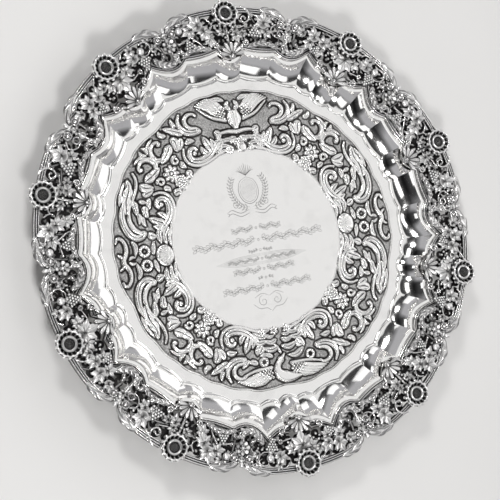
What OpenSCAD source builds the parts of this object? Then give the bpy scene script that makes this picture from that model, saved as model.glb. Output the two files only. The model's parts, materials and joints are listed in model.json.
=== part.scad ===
// Presentation salver on four scroll feet.
// A raised silver plate has a flat well, a cavetto of swelling panels and a flat flange. An openwork
// border of cast sections is soldered to the flange, with vine sprays, flowers and shells applied to it.
// The origin is the centre of the plane that the feet stand on. +Z is up, and +Y points to the flower
// at the head of the well's ornament. Angles are in degrees, anticlockwise from +X.

/* [Plate] */
// Radius of the flat well, out to the creases at the foot of the cavetto
well_r = 209; // [185:1:255]
// Radius of the bright disc in the middle of the well, inside the chased band
disc_r = 112; // [90:1:140]
// Depth of the line that bounds the bright disc
disc_line_depth = 0.5; // [0.2:0.1:1]
// Thickness of the silver sheet
sheet_t = 2.2; // [1.6:0.1:3.2]
// Depth of the well below the flange's upper face
well_depth = 18; // [12:0.5:24]
// Width of the cavetto, between the creases at its foot and the creases at its top
cavetto_w = 22.5; // [18:0.5:30]
// Slope of the cavetto at its foot
cavetto_foot_slope = 22; // [15:1:30]
// Slope of the cavetto at its top
cavetto_top_slope = 60; // [50:1:70]
// Flat strip between the cavetto and the rim moulding
strip_w = 4.5; // [3:0.5:7]
// Width of the flange under the moulding and the inner rail
flange_w = 11; // [10:0.5:14]

/* [Border] */
// Width of the border, from the moulding's inner creases to the outside of the outer rail
border_w = 54; // [46:1:66]
// Width of the rim moulding
moulding_w = 3; // [2:0.2:4]
// Height of the rim moulding above the flange
moulding_h = 3.4; // [2:0.2:5]
// Seam between the moulding and the castings, and between neighbouring castings
seam = 0.4; // [0.3:0.1:0.6]
// Width of the inner rail of a border casting
inner_rail_w = 6; // [4:0.5:8]
// Width of the outer rail of a border casting
outer_rail_w = 8; // [6:0.5:10]
// Thickness of a border casting
cast_t = 5; // [3.5:0.5:7]
// Width of a stem that ties the rails together
stem_w = 4.5; // [3:0.5:6]
// Radius of a volute at the end of an outer rail
volute_r = 7; // [5:0.5:8]
// Radius of a small volute on an inner rail
small_volute_r = 4.5; // [3:0.5:5]
// Height of a volute's boss above the casting
boss_h = 2; // [1:0.5:3]
// Radius of the bud over each joint of the outer rails
bud_r = 2.6; // [2:0.2:3]
// Height of that bud above the flange
bud_h = 9; // [7:0.5:12]

/* [Vine] */
// Radius of a large vine leaf
leaf_r = 12; // [9:0.5:13]
// Radius of a small vine leaf
small_leaf_r = 8.5; // [6:0.5:9.5]
// Thickness of a vine leaf
leaf_t = 1.8; // [1.2:0.1:2.5]
// Radius of one grape
grape_r = 1.9; // [1.5:0.1:2.1]
// Distance between the centres of two grapes
grape_pitch = 4.4; // [4.3:0.1:5]
// Width of a vine stem
vine_w = 2.6; // [2:0.2:4]

/* [Flowers and shells] */
// Radius of a daisy over its petals
daisy_r = 18.5; // [15:0.5:20]
// Height of a daisy from its seat to the petals' tips
daisy_h = 7; // [5:0.5:10]
// Number of petals on a daisy
daisy_petals = 14; // [10:1:18]
// Thickness of a daisy's petals
petal_t = 1.6; // [1.2:0.1:2.4]
// How far a daisy stands out past the outer rail
daisy_out = 10.5; // [6:0.5:12]
// Radius of a shell on the inner rail
shell_r = 15; // [11:0.5:16]
// Thickness of a shell between its ribs
shell_t = 2; // [1.5:0.1:3]
// Number of ribs on a shell
shell_ribs = 7; // [5:2:9]
// Radius of a shell's ribs
rib_r = 1.2; // [0.8:0.1:1.6]

/* [Feet] */
// Height from the surface under the feet to the plate's underside
foot_h = 24; // [18:1:32]
// Distance of each foot's toe in from the creases at the foot of the cavetto
foot_inset = 19; // [15:1:40]
// Radius of the pad that a foot stands on
pad_r = 8; // [6:0.5:10]
// Thickness of that pad
pad_t = 3; // [2:0.5:4]
// Width of a foot's scroll
foot_w = 13; // [10:0.5:16]
// Thickness of the bar that a foot's scroll is made of
foot_bar_t = 6; // [5:0.5:7]
// Thickness of the leaf between a foot and the plate
foot_leaf_t = 2; // [1.5:0.1:3]
// Radius of that leaf
foot_leaf_r = 21; // [17:0.5:24]

/* [Hidden] */
// The border's pattern: five repeats, each with two flowers and eight panels of the cavetto
repeats = 5;
repeat_angle = 360 / repeats;
sections = 2 * repeats;
section_angle = 360 / sections;
// Direction of the first wide-panel flower, so that one flower lies on +Y
first_angle = 18;
feet = 4;
first_foot_angle = 45;

// Angular widths of the eight panels of a repeat, from the one under the first flower
panel_width = [8.8, 10.4, 10.9, 6.6, 7.4, 6.6, 10.9, 10.4];
// Angle of every crease, and the steps of its radius at the cavetto's foot and at the rim
crease = [for (i = [0:8]) sum_to(panel_width, i) - panel_width[0] / 2];
foot_step = [0, 0, 0, 0, -2.6, -2.6, 0, 0, 0];
rim_step = [0, 0, 0, 9.3, -2.9, -2.9, 9.3, 0, 0];
// How far each panel swells towards the centre, at its foot and at the rim
foot_swell = [5.4, 3.9, 3.9, 3.5, 5.8, 3.5, 3.9, 3.9];
rim_swell = [11.3, 2.9, 11.6, 4.4, 10.2, 4.4, 11.6, 2.9];
// Points along a panel, and rings up the cavetto
panel_steps = 4;
cavetto_rings = 3;

floor_z = foot_h + sheet_t;
flange_z = floor_z + well_depth;
cast_z = flange_z + cast_t;
// How far the reeds of the outer rail lie below the top of a casting
reed_drop = 0.2;
// Radius to the moulding's creases, and to the outside of the outer rail
rim_base_r = well_r + cavetto_w + strip_w;
rail_r = rim_base_r + border_w;
// Where the inner rail starts, outside the moulding
inner_rail_in = moulding_w + seam;
// Width of the open part of the border, and the radius of its middle
open_w = border_w - inner_rail_in - inner_rail_w - outer_rail_w;
vine_r = rim_base_r + inner_rail_in + inner_rail_w + open_w / 2;
daisy_place_r = rail_r + daisy_out - daisy_r;
foot_place_r = well_r - foot_inset;
// Half angle of a casting, less its share of the seam
half_cast = section_angle / 2 - asin(seam / 2 / rim_base_r);
// Angle from a casting's end to the centre of its outer volute
volute_inset = asin((volute_r + bud_r + seam) / rail_r);
volute_at = section_angle / 2 - volute_inset;
volute_place_r = rail_r - volute_r;
// Where the shells and the small volutes sit on the inner rail
small_volute_at = 6.4;
shell_seat = inner_rail_in + inner_rail_w;
// Angles of the leaves and bunches on a spray, out from its middle
leaf_at = 9.5;
bunch_at = 7.2;
small_leaf_at = volute_at * 0.85;
grape_rows = 4;
grape_row_step = grape_pitch * sqrt(3) / 2;
detail = 48;

function number_name(base, i) = str(base, i < 9 ? "_0" : "_", i + 1);
function sum_to(list, n) = n == 0 ? 0 : list[n - 1] + sum_to(list, n - 1);
function polar(r, a) = [r * cos(a), r * sin(a)];

// Angle within a repeat, counted from the first crease
function in_repeat(a) = a - repeat_angle * floor((a - crease[0]) / repeat_angle);
function panel_at(a) = max([for (i = [0:7]) if (in_repeat(a) >= crease[i] - 0.001) i]);
// Radius of a lobed line: creases joined by arcs that swell towards the centre
function lobed(a, base, step, swell) =
    let (i = panel_at(a), t = (in_repeat(a) - crease[i]) / panel_width[i])
    base + step[i] * (1 - t) + step[i + 1] * t - swell[i] * 4 * t * (1 - t);
function foot_line(a) = lobed(a, well_r, foot_step, foot_swell);
function rim_line(a) = lobed(a, rim_base_r, rim_step, rim_swell);

// Angles of the points along one repeat, and all round
panel_angles = [for (i = [0:7], j = [0:panel_steps - 1]) crease[i] + panel_width[i] * j / panel_steps];
round_angles = [for (k = [0:repeats - 1], a = panel_angles) a + k * repeat_angle];
// The same points that lie within a casting whose middle is at the angle given
function cast_angles(middle) =
    let (near = [for (k = [-1:1], a = panel_angles) a + k * repeat_angle - in_repeat(middle)])
    concat([-half_cast], [for (a = near) if (abs(a) < half_cast - 0.2) a], [half_cast]);

// ---- The plate ----

// Rings of the plate's upper face, from the foot of the cavetto to the flange's edge. Each is
// [share of the way across the cavetto, share of the way up, slope there].
function cavetto_ring(i) =
    let (slope = cavetto_foot_slope + (cavetto_top_slope - cavetto_foot_slope) * i / cavetto_rings)
    [
        (sin(slope) - sin(cavetto_foot_slope)) / (sin(cavetto_top_slope) - sin(cavetto_foot_slope)),
        (cos(cavetto_foot_slope) - cos(slope)) / (cos(cavetto_foot_slope) - cos(cavetto_top_slope)),
        slope
    ];

// A point on the cavetto's upper face, or moved through the sheet to its lower face. At the foot the
// lower face is mitred to the flat underside of the well.
function cavetto_point(a, ring, depth) =
    let (
        foot = foot_line(a),
        at_foot = ring[1] == 0,
        outwards = at_foot ? depth * tan(ring[2] / 2) : depth * sin(ring[2]),
        r = foot + (rim_line(a) - strip_w - foot) * ring[0] + outwards,
        z = floor_z + well_depth * ring[1] - (at_foot ? depth : depth * cos(ring[2]))
    )
    [r * cos(a), r * sin(a), z];

function flange_point(a, z) = [(rim_line(a) + flange_w) * cos(a), (rim_line(a) + flange_w) * sin(a), z];

module plate_sheet() {
    n = len(round_angles);
    upper = [for (i = [0:cavetto_rings]) cavetto_ring(i)];
    points = concat(
        [for (ring = upper, a = round_angles) cavetto_point(a, ring, 0)],
        [for (a = round_angles) flange_point(a, flange_z)],
        [for (a = round_angles) flange_point(a, flange_z - sheet_t)],
        [for (i = [cavetto_rings:-1:0], a = round_angles) cavetto_point(a, upper[i], sheet_t)]
    );
    rings = 2 * cavetto_rings + 4;
    faces = concat(
        [[for (i = [n - 1:-1:0]) i]],
        [
            for (j = [0:rings - 2], i = [0:n - 1])
                [j * n + i, j * n + (i + 1) % n, (j + 1) * n + (i + 1) % n, (j + 1) * n + i]
        ],
        [[for (i = [0:n - 1]) (rings - 1) * n + i]]
    );
    polyhedron(points, faces, convexity = 6);
}

module plate() color("silver") rotate(first_angle) difference() {
    plate_sheet();
    // The line round the bright disc
    translate([0, 0, floor_z - disc_line_depth]) rotate_extrude($fn = detail * 2)
        translate([disc_r, 0]) square([1, 1]);
}

// The outline of a band between two distances from the rim line, over a list of angles
module rim_band(angles, middle, inside, outside) {
    inner = [for (a = angles) polar(rim_line(a + middle) + inside, a)];
    outer = [for (i = [len(angles) - 1:-1:0]) polar(rim_line(angles[i] + middle) + outside, angles[i])];
    polygon(concat(inner, outer));
}

module rim_moulding() color("gainsboro") rotate(first_angle) translate([0, 0, flange_z]) difference() {
    linear_extrude(moulding_h) polygon([for (a = round_angles) polar(rim_line(a) + moulding_w, a)]);
    translate([0, 0, -1]) linear_extrude(moulding_h + 2)
        polygon([for (a = round_angles) polar(rim_line(a), a)]);
}

// ---- The border castings ----

// The outline of a straight bar between two places
module bar(from, to, width) {
    run = to - from;
    translate(from) rotate(atan2(run[1], run[0])) translate([0, -width / 2]) square([norm(run), width]);
}

// The outer rail: an arc with two reeds on a flat back. The reeds stop short of the casting's top.
module outer_rail() {
    reed_r = outer_rail_w / 4;
    reed_z = cast_t - reed_r - reed_drop;
    rotate(-volute_at) rotate_extrude(angle = 2 * volute_at, $fn = detail * 3) {
        translate([rail_r - outer_rail_w, 0]) square([outer_rail_w, reed_z]);
        for (place = [1, 3]) translate([rail_r - outer_rail_w * place / 4, reed_z]) circle(reed_r, $fn = 24);
    }
}

// The flat outline of one casting, with its middle on +X. middle is its true angle from the first flower.
module casting_outline(middle, has_volutes) {
    rim_band(cast_angles(middle), middle, inner_rail_in, inner_rail_in + inner_rail_w);
    bar([rim_line(middle) + inner_rail_in + 1, 0], [rail_r - outer_rail_w / 2, 0], stem_w * 2);
    for (side = [-1, 1]) {
        end = side * volute_at;
        translate(polar(volute_place_r, end)) circle(volute_r, $fn = detail);
        bar(polar(rim_line(middle + end) + shell_seat - 1, end), polar(volute_place_r, end), stem_w);
        // The vine's stem, bowed between the middle and the ends
        bar(polar(vine_r, 0), polar(vine_r + stem_w, end / 2), stem_w);
        bar(polar(vine_r + stem_w, end / 2), polar(vine_r, end), stem_w);
        if (has_volutes) translate(small_volute_place(middle, side)) circle(small_volute_r, $fn = detail);
    }
}

function small_volute_place(middle, side) =
    polar(rim_line(middle + side * small_volute_at) + shell_seat, side * small_volute_at);

// The raised eye of a volute
module eye(radius) {
    cylinder(h = cast_t + boss_h, r = radius / 2, $fn = detail);
}

module border_casting(middle, has_volutes) {
    linear_extrude(cast_t) casting_outline(middle, has_volutes);
    outer_rail();
    for (side = [-1, 1]) {
        translate(polar(volute_place_r, side * volute_at)) eye(volute_r);
        if (has_volutes) translate(small_volute_place(middle, side)) eye(small_volute_r);
    }
}

module border_section(i) color("lightgray") rotate(first_angle + i * section_angle)
    translate([0, 0, flange_z]) border_casting(i * section_angle, i % 2 == 1);

// ---- The vine sprays ----

// The outline of a vine leaf with five lobes, its stalk at -X
module vine_leaf(radius) {
    lobes = 5;
    points = 30;
    polygon([
        for (i = [0:points - 1])
            let (a = 360 * i / points, lobe = abs(cos(a * lobes / 2)))
            polar(radius * (0.58 + 0.42 * lobe), a)
    ]);
}

// The flat back of a bunch of grapes, which points towards +X
module bunch_back() {
    length = (grape_rows - 1) * grape_row_step;
    half = (grape_rows - 1) * grape_pitch / 2;
    polygon([
        [-grape_r, -half - grape_r],
        [length + grape_r, -grape_r],
        [length + grape_r, grape_r],
        [-grape_r, half + grape_r]
    ]);
}

// The grapes, in rows that narrow towards +X
module grapes() {
    for (row = [0:grape_rows - 1], j = [0:grape_rows - 1 - row])
        translate([row * grape_row_step, (j - (grape_rows - 1 - row) / 2) * grape_pitch, leaf_t])
            sphere(grape_r, $fn = 24);
}

// Moves a bunch to its place on one side of a spray
module place_bunch(side) {
    rotate(side * bunch_at) translate([vine_r - 2, 0, 0]) rotate(180 + side * 20) children();
}

// The flat outline of one spray, with its middle on +X
module spray_outline(has_middle_leaf) {
    for (side = [-1, 1]) {
        leaf_place = polar(vine_r + stem_w, side * leaf_at);
        tip_place = polar(vine_r - stem_w, side * small_leaf_at);
        translate(leaf_place) rotate(side * (leaf_at + 60)) vine_leaf(leaf_r);
        bar(polar(vine_r, 0), leaf_place, vine_w);
        bar(leaf_place, tip_place, vine_w);
        translate(tip_place) rotate(side * (small_leaf_at + 100)) vine_leaf(small_leaf_r);
        place_bunch(side) bunch_back();
    }
    translate([daisy_place_r - daisy_r, 0]) rotate(180)
        vine_leaf(has_middle_leaf ? leaf_r * 0.8 : small_leaf_r);
}

module spray(has_middle_leaf) {
    linear_extrude(leaf_t) spray_outline(has_middle_leaf);
    for (side = [-1, 1]) place_bunch(side) grapes();
}

module vine_spray(i) color("whitesmoke") rotate(first_angle + i * section_angle)
    translate([0, 0, cast_z]) spray(i % 2 == 1);

// ---- The flowers, shells and buds ----

// A cupped daisy, with the middle of its seat at the origin
module daisy_flower() {
    notch = 1.8;
    points = daisy_petals * 6;
    seat_r = daisy_r * 0.35;
    cup_r = daisy_r * 0.42;
    cylinder(h = petal_t + 1, r = seat_r, $fn = detail);
    intersection() {
        rotate_extrude($fn = detail * 2) polygon([
            [0, 0],
            [seat_r, 0],
            [daisy_r, daisy_h - petal_t],
            [daisy_r, daisy_h],
            [cup_r, petal_t + 1],
            [0, petal_t + 1]
        ]);
        linear_extrude(daisy_h) polygon([
            for (i = [0:points - 1])
                let (a = 360 * i / points, petal = abs(cos(a * daisy_petals / 2)))
                polar(daisy_r - notch * (1 - petal), a)
        ]);
    }
    // The heart: a ring round a stippled dome
    translate([0, 0, petal_t + 1]) rotate_extrude($fn = detail)
        translate([cup_r * 0.75, 0]) circle(1, $fn = 24);
    intersection() {
        translate([0, 0, petal_t + 2 - cup_r]) sphere(cup_r, $fn = detail);
        cylinder(h = daisy_h, r = cup_r * 0.6, $fn = detail);
    }
}

module daisy(i) color("gainsboro") rotate(first_angle + i * section_angle)
    translate([daisy_place_r, 0, cast_z]) daisy_flower();

// A fan shell that opens towards +X, with its hinge at the origin
module fan_shell(radius) {
    spread = 64;
    points = shell_ribs * 6;
    linear_extrude(shell_t) polygon(concat([[-radius * 0.15, 0]], [
        for (i = [0:points])
            let (a = -spread + 2 * spread * i / points, scallop = abs(sin(180 * shell_ribs * i / points)))
            polar(radius * (0.9 + 0.1 * scallop), a)
    ]));
    for (i = [0:shell_ribs - 1]) {
        a = (i - (shell_ribs - 1) / 2) * 2 * spread / shell_ribs;
        // The ribs are turned by half a side, so that no corner lies in the shell's face
        rotate(a) translate([radius * 0.35, 0, shell_t]) rotate([0, 90, 0]) rotate(180 / 20)
            cylinder(h = radius * 0.5, r = rib_r, $fn = 20);
    }
}

module rim_shell(i) {
    middle = i * section_angle;
    hinge = shell_r * 0.15;
    place_r = rim_line(middle) + inner_rail_in + hinge;
    color("lightgray") rotate(first_angle + middle) translate([place_r, 0, cast_z]) fan_shell(shell_r);
}

// A bud over one joint of the castings, with the stalk that lies across the two inner rails
module joint_bud(middle) {
    cylinder_h = bud_h - bud_r;
    translate([volute_place_r, 0, 0]) {
        cylinder(h = cylinder_h, r = bud_r, $fn = detail);
        translate([0, 0, cylinder_h]) sphere(bud_r, $fn = detail);
    }
    translate([0, 0, cast_t]) linear_extrude(leaf_t)
        bar([rim_line(middle) + inner_rail_in + seam, 0], [volute_place_r, 0], bud_r);
}

module joint_buds() color("silver") for (i = [0:sections - 1])
    rotate(first_angle + (i + 0.5) * section_angle) translate([0, 0, flange_z])
        joint_bud((i + 0.5) * section_angle);

// ---- The feet ----

// The side of a foot, with its toe at the origin and its back towards -X
module foot_side() {
    top = foot_h - foot_leaf_t;
    knee_r = (top - pad_t) / 2;
    difference() {
        translate([-knee_r + foot_bar_t / 2, pad_t + knee_r]) circle(knee_r, $fn = detail);
        translate([-knee_r, pad_t + knee_r]) circle(knee_r - foot_bar_t, $fn = detail);
        translate([-3 * knee_r, 0]) square([2 * knee_r, 2 * top]);
    }
    translate([-2 * knee_r - foot_bar_t / 2, top - foot_bar_t]) square([2 * knee_r, foot_bar_t]);
    translate([-foot_bar_t / 2, 0]) square([foot_bar_t, pad_t + foot_bar_t]);
}

module foot(i) color("silver") rotate(first_foot_angle + i * 360 / feet) translate([foot_place_r, 0, 0]) {
    cylinder(h = pad_t, r = pad_r, $fn = detail);
    translate([0, foot_w / 2, 0]) rotate([90, 0, 0]) linear_extrude(foot_w) foot_side();
}

// The leaf between a foot and the plate, a lobed fan with its wide end inwards
module foot_leaf(i) color("gainsboro") rotate(first_foot_angle + i * 360 / feet)
    translate([foot_place_r - foot_h / 2, 0, foot_h - foot_leaf_t]) {
        lobes = 7;
        points = 42;
        linear_extrude(foot_leaf_t) polygon([
            for (i = [0:points - 1])
                let (a = 360 * i / points, lobe = abs(cos(a * lobes / 2)))
                polar(foot_leaf_r * (0.8 + 0.2 * lobe), a)
        ]);
    }

// ---- What is drawn ----

plate();
rim_moulding();
for (i = [0:sections - 1]) {
    border_section(i);
    vine_spray(i);
    daisy(i);
    rim_shell(i);
}
joint_buds();
for (i = [0:feet - 1]) {
    foot(i);
    foot_leaf(i);
}
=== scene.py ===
import json
import math
import bpy
import numpy as np
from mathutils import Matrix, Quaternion, Vector


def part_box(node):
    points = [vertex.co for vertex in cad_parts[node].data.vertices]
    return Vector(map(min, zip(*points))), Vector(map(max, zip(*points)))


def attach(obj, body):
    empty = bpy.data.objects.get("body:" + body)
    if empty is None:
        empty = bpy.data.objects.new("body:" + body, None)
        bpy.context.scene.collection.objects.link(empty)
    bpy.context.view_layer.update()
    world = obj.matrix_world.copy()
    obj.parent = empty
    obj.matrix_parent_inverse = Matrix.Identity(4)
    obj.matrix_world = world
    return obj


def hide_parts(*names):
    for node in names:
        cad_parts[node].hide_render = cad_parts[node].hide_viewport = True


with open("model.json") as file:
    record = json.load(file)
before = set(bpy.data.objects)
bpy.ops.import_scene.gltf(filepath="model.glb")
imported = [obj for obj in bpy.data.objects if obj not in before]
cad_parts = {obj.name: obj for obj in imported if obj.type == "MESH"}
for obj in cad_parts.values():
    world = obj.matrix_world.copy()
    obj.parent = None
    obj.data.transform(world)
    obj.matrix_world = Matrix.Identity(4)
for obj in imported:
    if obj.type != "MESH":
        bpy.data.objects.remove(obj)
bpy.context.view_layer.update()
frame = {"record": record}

MM = 0.001
random = np.random.default_rng(11)

# ---- Sizes taken from the frame ----


def box_mm(node):
    low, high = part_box(node)
    return np.array(low) / MM, np.array(high) / MM


FLOOR_Z = [m["pos_m"][2] / MM for m in frame["record"]["mounts"] if m["name"] == "well_floor"][0]
FLANGE_Z = box_mm("rim_moulding")[0][2]
MOULDING_TOP = box_mm("rim_moulding")[1][2]
CAST_Z = box_mm("vine_spray_01")[0][2]
DAISY_LOW, DAISY_HIGH = box_mm("daisy_03")
DAISY_R = (DAISY_HIGH[0] - DAISY_LOW[0]) / 2
DAISY_Y = (DAISY_HIGH[1] + DAISY_LOW[1]) / 2
DAISY_TOP = DAISY_HIGH[2]

# ---- The plate's pattern, as in the CAD design ----

REPEATS = 5
SECTIONS = 2 * REPEATS
SECTION_ANGLE = 360 / SECTIONS
FIRST_ANGLE = 18
PANEL_WIDTH = np.array([8.8, 10.4, 10.9, 6.6, 7.4, 6.6, 10.9, 10.4])
CREASE = np.concatenate([[0], np.cumsum(PANEL_WIDTH)]) - PANEL_WIDTH[0] / 2
FOOT_STEP = np.array([0, 0, 0, 0, -2.6, -2.6, 0, 0, 0])
RIM_STEP = np.array([0, 0, 0, 9.3, -2.9, -2.9, 9.3, 0, 0])
FOOT_SWELL = np.array([5.4, 3.9, 3.9, 3.5, 5.8, 3.5, 3.9, 3.9])
RIM_SWELL = np.array([11.3, 2.9, 11.6, 4.4, 10.2, 4.4, 11.6, 2.9])
WELL_R = 209
CAVETTO_W = 22.5
STRIP_W = 4.5
RIM_R = WELL_R + CAVETTO_W + STRIP_W
FLANGE_W = 11
SHEET_T = 2.2
DISC_R = 112
FOOT_SLOPE, TOP_SLOPE = 22, 60
MOULDING_W = 3
SEAM = 0.4
RAIL_IN = MOULDING_W + SEAM
INNER_RAIL_W = 6
HALF_CAST = SECTION_ANGLE / 2 - 0.06


def lobed(angle, base, step, swell):
    """Radius of a line of swelling arcs, at angles counted from the first daisy."""
    within = np.mod(np.asarray(angle, float) - CREASE[0], 360 / REPEATS) + CREASE[0]
    i = np.clip(np.searchsorted(CREASE, within, "right") - 1, 0, 7)
    t = (within - CREASE[i]) / PANEL_WIDTH[i]
    return base + step[i] * (1 - t) + step[i + 1] * t - swell[i] * 4 * t * (1 - t)


def foot_line(angle):
    return lobed(angle, WELL_R, FOOT_STEP, FOOT_SWELL)


def rim_line(angle):
    return lobed(angle, RIM_R, RIM_STEP, RIM_SWELL)


# ---- Mesh making ----


def unit(v):
    return v / np.maximum(np.linalg.norm(v, axis=-1, keepdims=True), 1e-9)


def turned(points, angle):
    """Points from a section's own frame, for a section whose daisy lies at the angle given."""
    a = math.radians(angle)
    x, y = points[:, 0], points[:, 1]
    return np.stack([y * math.cos(a) + x * math.sin(a), y * math.sin(a) - x * math.cos(a), points[:, 2]], 1)


class Shape:
    """Closed solids gathered for one piece. Each point has a shade that darkens its colour, 0 bright and 1
    darkest: it stands for tarnish in recesses and for painted shade.
    """

    def __init__(self):
        self.points, self.faces, self.shades, self.count = [], [], [], 0

    def add(self, points, faces, shade):
        """Faces are arrays of one row a face. They are turned over if they face inwards."""
        volume = 0.0
        for f in faces:
            p = points[f]
            for k in range(1, f.shape[1] - 1):
                volume += np.einsum("ij,ij->", p[:, 0], np.cross(p[:, k], p[:, k + 1]))
        if volume < 0:
            faces = [f[:, ::-1] for f in faces]
        self.points.append(points)
        self.faces += [f + self.count for f in faces]
        self.shades.append(np.clip(np.broadcast_to(np.asarray(shade, float).ravel(), len(points)), 0, 1))
        self.count += len(points)

    def loops(self, rows, shade=0.0):
        """A solid through closed loops of equal length, with a flat face on the first and the last."""
        rows = np.asarray(rows, float)
        n, m = rows.shape[:2]
        start = np.arange(n - 1)[:, None] * m
        here = np.arange(m)[None, :]
        after = (here + 1) % m
        quads = np.stack([start + here, start + after, start + m + after, start + m + here], -1)
        ends = [np.arange(m)[None, ::-1], (np.arange(m) + (n - 1) * m)[None, :]]
        self.add(rows.reshape(-1, 3), [quads.reshape(-1, 4), *ends], shade)

    def ribbon(self, path, half_width, top, base, shade=0.0):
        """A strip along a flat path. half_width is one value a station, top is one height for each
        station and each place across, and base is the height of its flat back."""
        path = np.asarray(path, float)
        along = unit(np.gradient(path, axis=0))
        left = np.stack([-along[:, 1], along[:, 0]], 1)
        n, m = top.shape
        across = np.linspace(-1, 1, m)
        reach = np.broadcast_to(half_width, n)[:, None] * across
        xy = path[:, None] + reach[..., None] * left[:, None]
        face = np.concatenate([xy, top[..., None]], 2)
        back = face[:, [-1, 0]].copy()
        back[..., 2] = base
        shades = np.broadcast_to(shade, (n, m))
        shades = np.concatenate([shades, np.full((n, 2), 0.6)], 1)
        self.loops(np.concatenate([face, back], 1), shades)

    def tube(self, path, radius, sides=8, shade=0.0):
        """A round bar along a path in space, drawn in at both ends."""
        path = np.asarray(path, float)
        radius = np.broadcast_to(radius, len(path)).astype(float)
        along = unit(np.gradient(path, axis=0))
        out = unit(np.cross(along, [0, 0, 1.0]) + [1e-6, 0, 0])
        up = np.cross(out, along)
        turn = np.arange(sides) * 2 * math.pi / sides
        ring = out[:, None] * np.cos(turn)[:, None] + up[:, None] * np.sin(turn)[:, None]
        rows = path[:, None] + ring * radius[:, None, None]
        first = path[0] - along[0] * radius[0] * 0.5 + ring[0] * radius[0] * 0.4
        last = path[-1] + along[-1] * radius[-1] * 0.5 + ring[-1] * radius[-1] * 0.4
        self.loops(np.concatenate([first[None], rows, last[None]]), shade)

    def ball(self, x, y, z, rx, ry=None, rz=None, heading=0, columns=12, rows=8, shade=0.0):
        """A round or squashed bead. heading turns it clockwise."""
        ry, rz = ry or rx, rz or rx
        tilt = np.linspace(-86, 86, rows) * math.pi / 180
        turn = np.arange(columns) * 2 * math.pi / columns
        px = rx * np.cos(tilt)[:, None] * np.cos(turn)
        py = ry * np.cos(tilt)[:, None] * np.sin(turn)
        pz = np.broadcast_to(rz * np.sin(tilt)[:, None], px.shape)
        c, s = math.cos(math.radians(heading)), math.sin(math.radians(heading))
        self.loops(np.stack([x + px * c + py * s, y - px * s + py * c, z + pz], -1), shade)

    def copy_to(self, other, angle):
        """Adds this shape, turned to a section, to another shape."""
        for points, shades in zip(self.points, self.shades):
            other.points.append(turned(points, angle))
            other.shades.append(shades)
        other.faces += [f + other.count for f in self.faces]
        other.count += self.count

    def piece(self, name, material, slot, nodes=(), crease=50):
        """The Blender object, in metres, riding on the one body."""
        points = np.concatenate(self.points) * MM
        sizes = np.concatenate([np.full(len(f), f.shape[1]) for f in self.faces])
        corners = np.concatenate([f.ravel() for f in self.faces])
        mesh = bpy.data.meshes.new(name)
        mesh.vertices.add(len(points))
        mesh.vertices.foreach_set("co", points.astype(np.float32).ravel())
        mesh.loops.add(len(corners))
        mesh.loops.foreach_set("vertex_index", corners.astype(np.int32))
        mesh.polygons.add(len(sizes))
        mesh.polygons.foreach_set("loop_start", (np.cumsum(sizes) - sizes).astype(np.int32))
        mesh.update(calc_edges=True)
        shade = mesh.attributes.new("shade", "FLOAT", "POINT")
        shade.data.foreach_set("value", np.concatenate(self.shades).astype(np.float32))
        mesh.shade_smooth()
        mesh.set_sharp_from_angle(angle=math.radians(crease))
        mesh.materials.append(material)
        made = bpy.data.objects.new(name, mesh)
        bpy.context.scene.collection.objects.link(made)
        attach(made, "root")
        if nodes:
            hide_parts(*nodes)


def curve_through(points, count=40):
    """A smooth line through a few points, with its stations evenly spread."""
    p = np.asarray(points, float)
    p = np.concatenate([[2 * p[0] - p[1]], p, [2 * p[-1] - p[-2]]])
    line = []
    for i in range(1, len(p) - 2):
        t = np.linspace(0, 1, 12, endpoint=False)[:, None]
        a, b, c, d = p[i - 1], p[i], p[i + 1], p[i + 2]
        line.append(0.5 * (2 * b + (c - a) * t + (2 * a - 5 * b + 4 * c - d) * t**2
                           + (3 * b - a - 3 * c + d) * t**3))
    line = np.concatenate([*line, p[-2:-1]])
    run = np.concatenate([[0], np.cumsum(np.linalg.norm(np.diff(line, axis=0), axis=1))])
    even = np.linspace(0, run[-1], count)
    return np.stack([np.interp(even, run, line[:, k]) for k in range(line.shape[1])], 1)


def spiral(x, y, from_r, to_r, start, sweep, count=40):
    """A curl round a point. start is an angle from +X, and sweep is positive anticlockwise."""
    t = np.linspace(0, 1, count)
    r = from_r * (to_r / from_r) ** t
    a = np.radians(start + sweep * t)
    return np.stack([x + r * np.cos(a), y + r * np.sin(a)], 1)


def flip(points, side):
    """The same points, mirrored to the left when side is -1."""
    return np.asarray(points, float) * np.array([side, 1.0])


def lift(path, z):
    """A flat path set at a height, or at one height for each of its points."""
    path = np.asarray(path, float)
    return np.concatenate([path, np.broadcast_to(z, len(path)).reshape(-1, 1)], 1)


# ---- Silver ornaments, in a section's frame ----


def reeded_rail(shape, path, half_width, base, height, reeds=3):
    """A rail with rounded reeds along it."""
    across = np.linspace(-1, 1, 8 * reeds + 1)
    reed = np.abs(np.sin(reeds * math.pi * (across + 1) / 2))
    profile = height * (0.55 + 0.45 * np.sqrt(reed))
    half_width = np.broadcast_to(half_width, len(path))
    slim = (half_width / half_width.max()) ** 0.5
    top = base + profile[None] * slim[:, None]
    # The grooves between the reeds are coloured darker: painted shade
    shape.ribbon(path, half_width, top, base, (1 - reed) ** 1.2)


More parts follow.
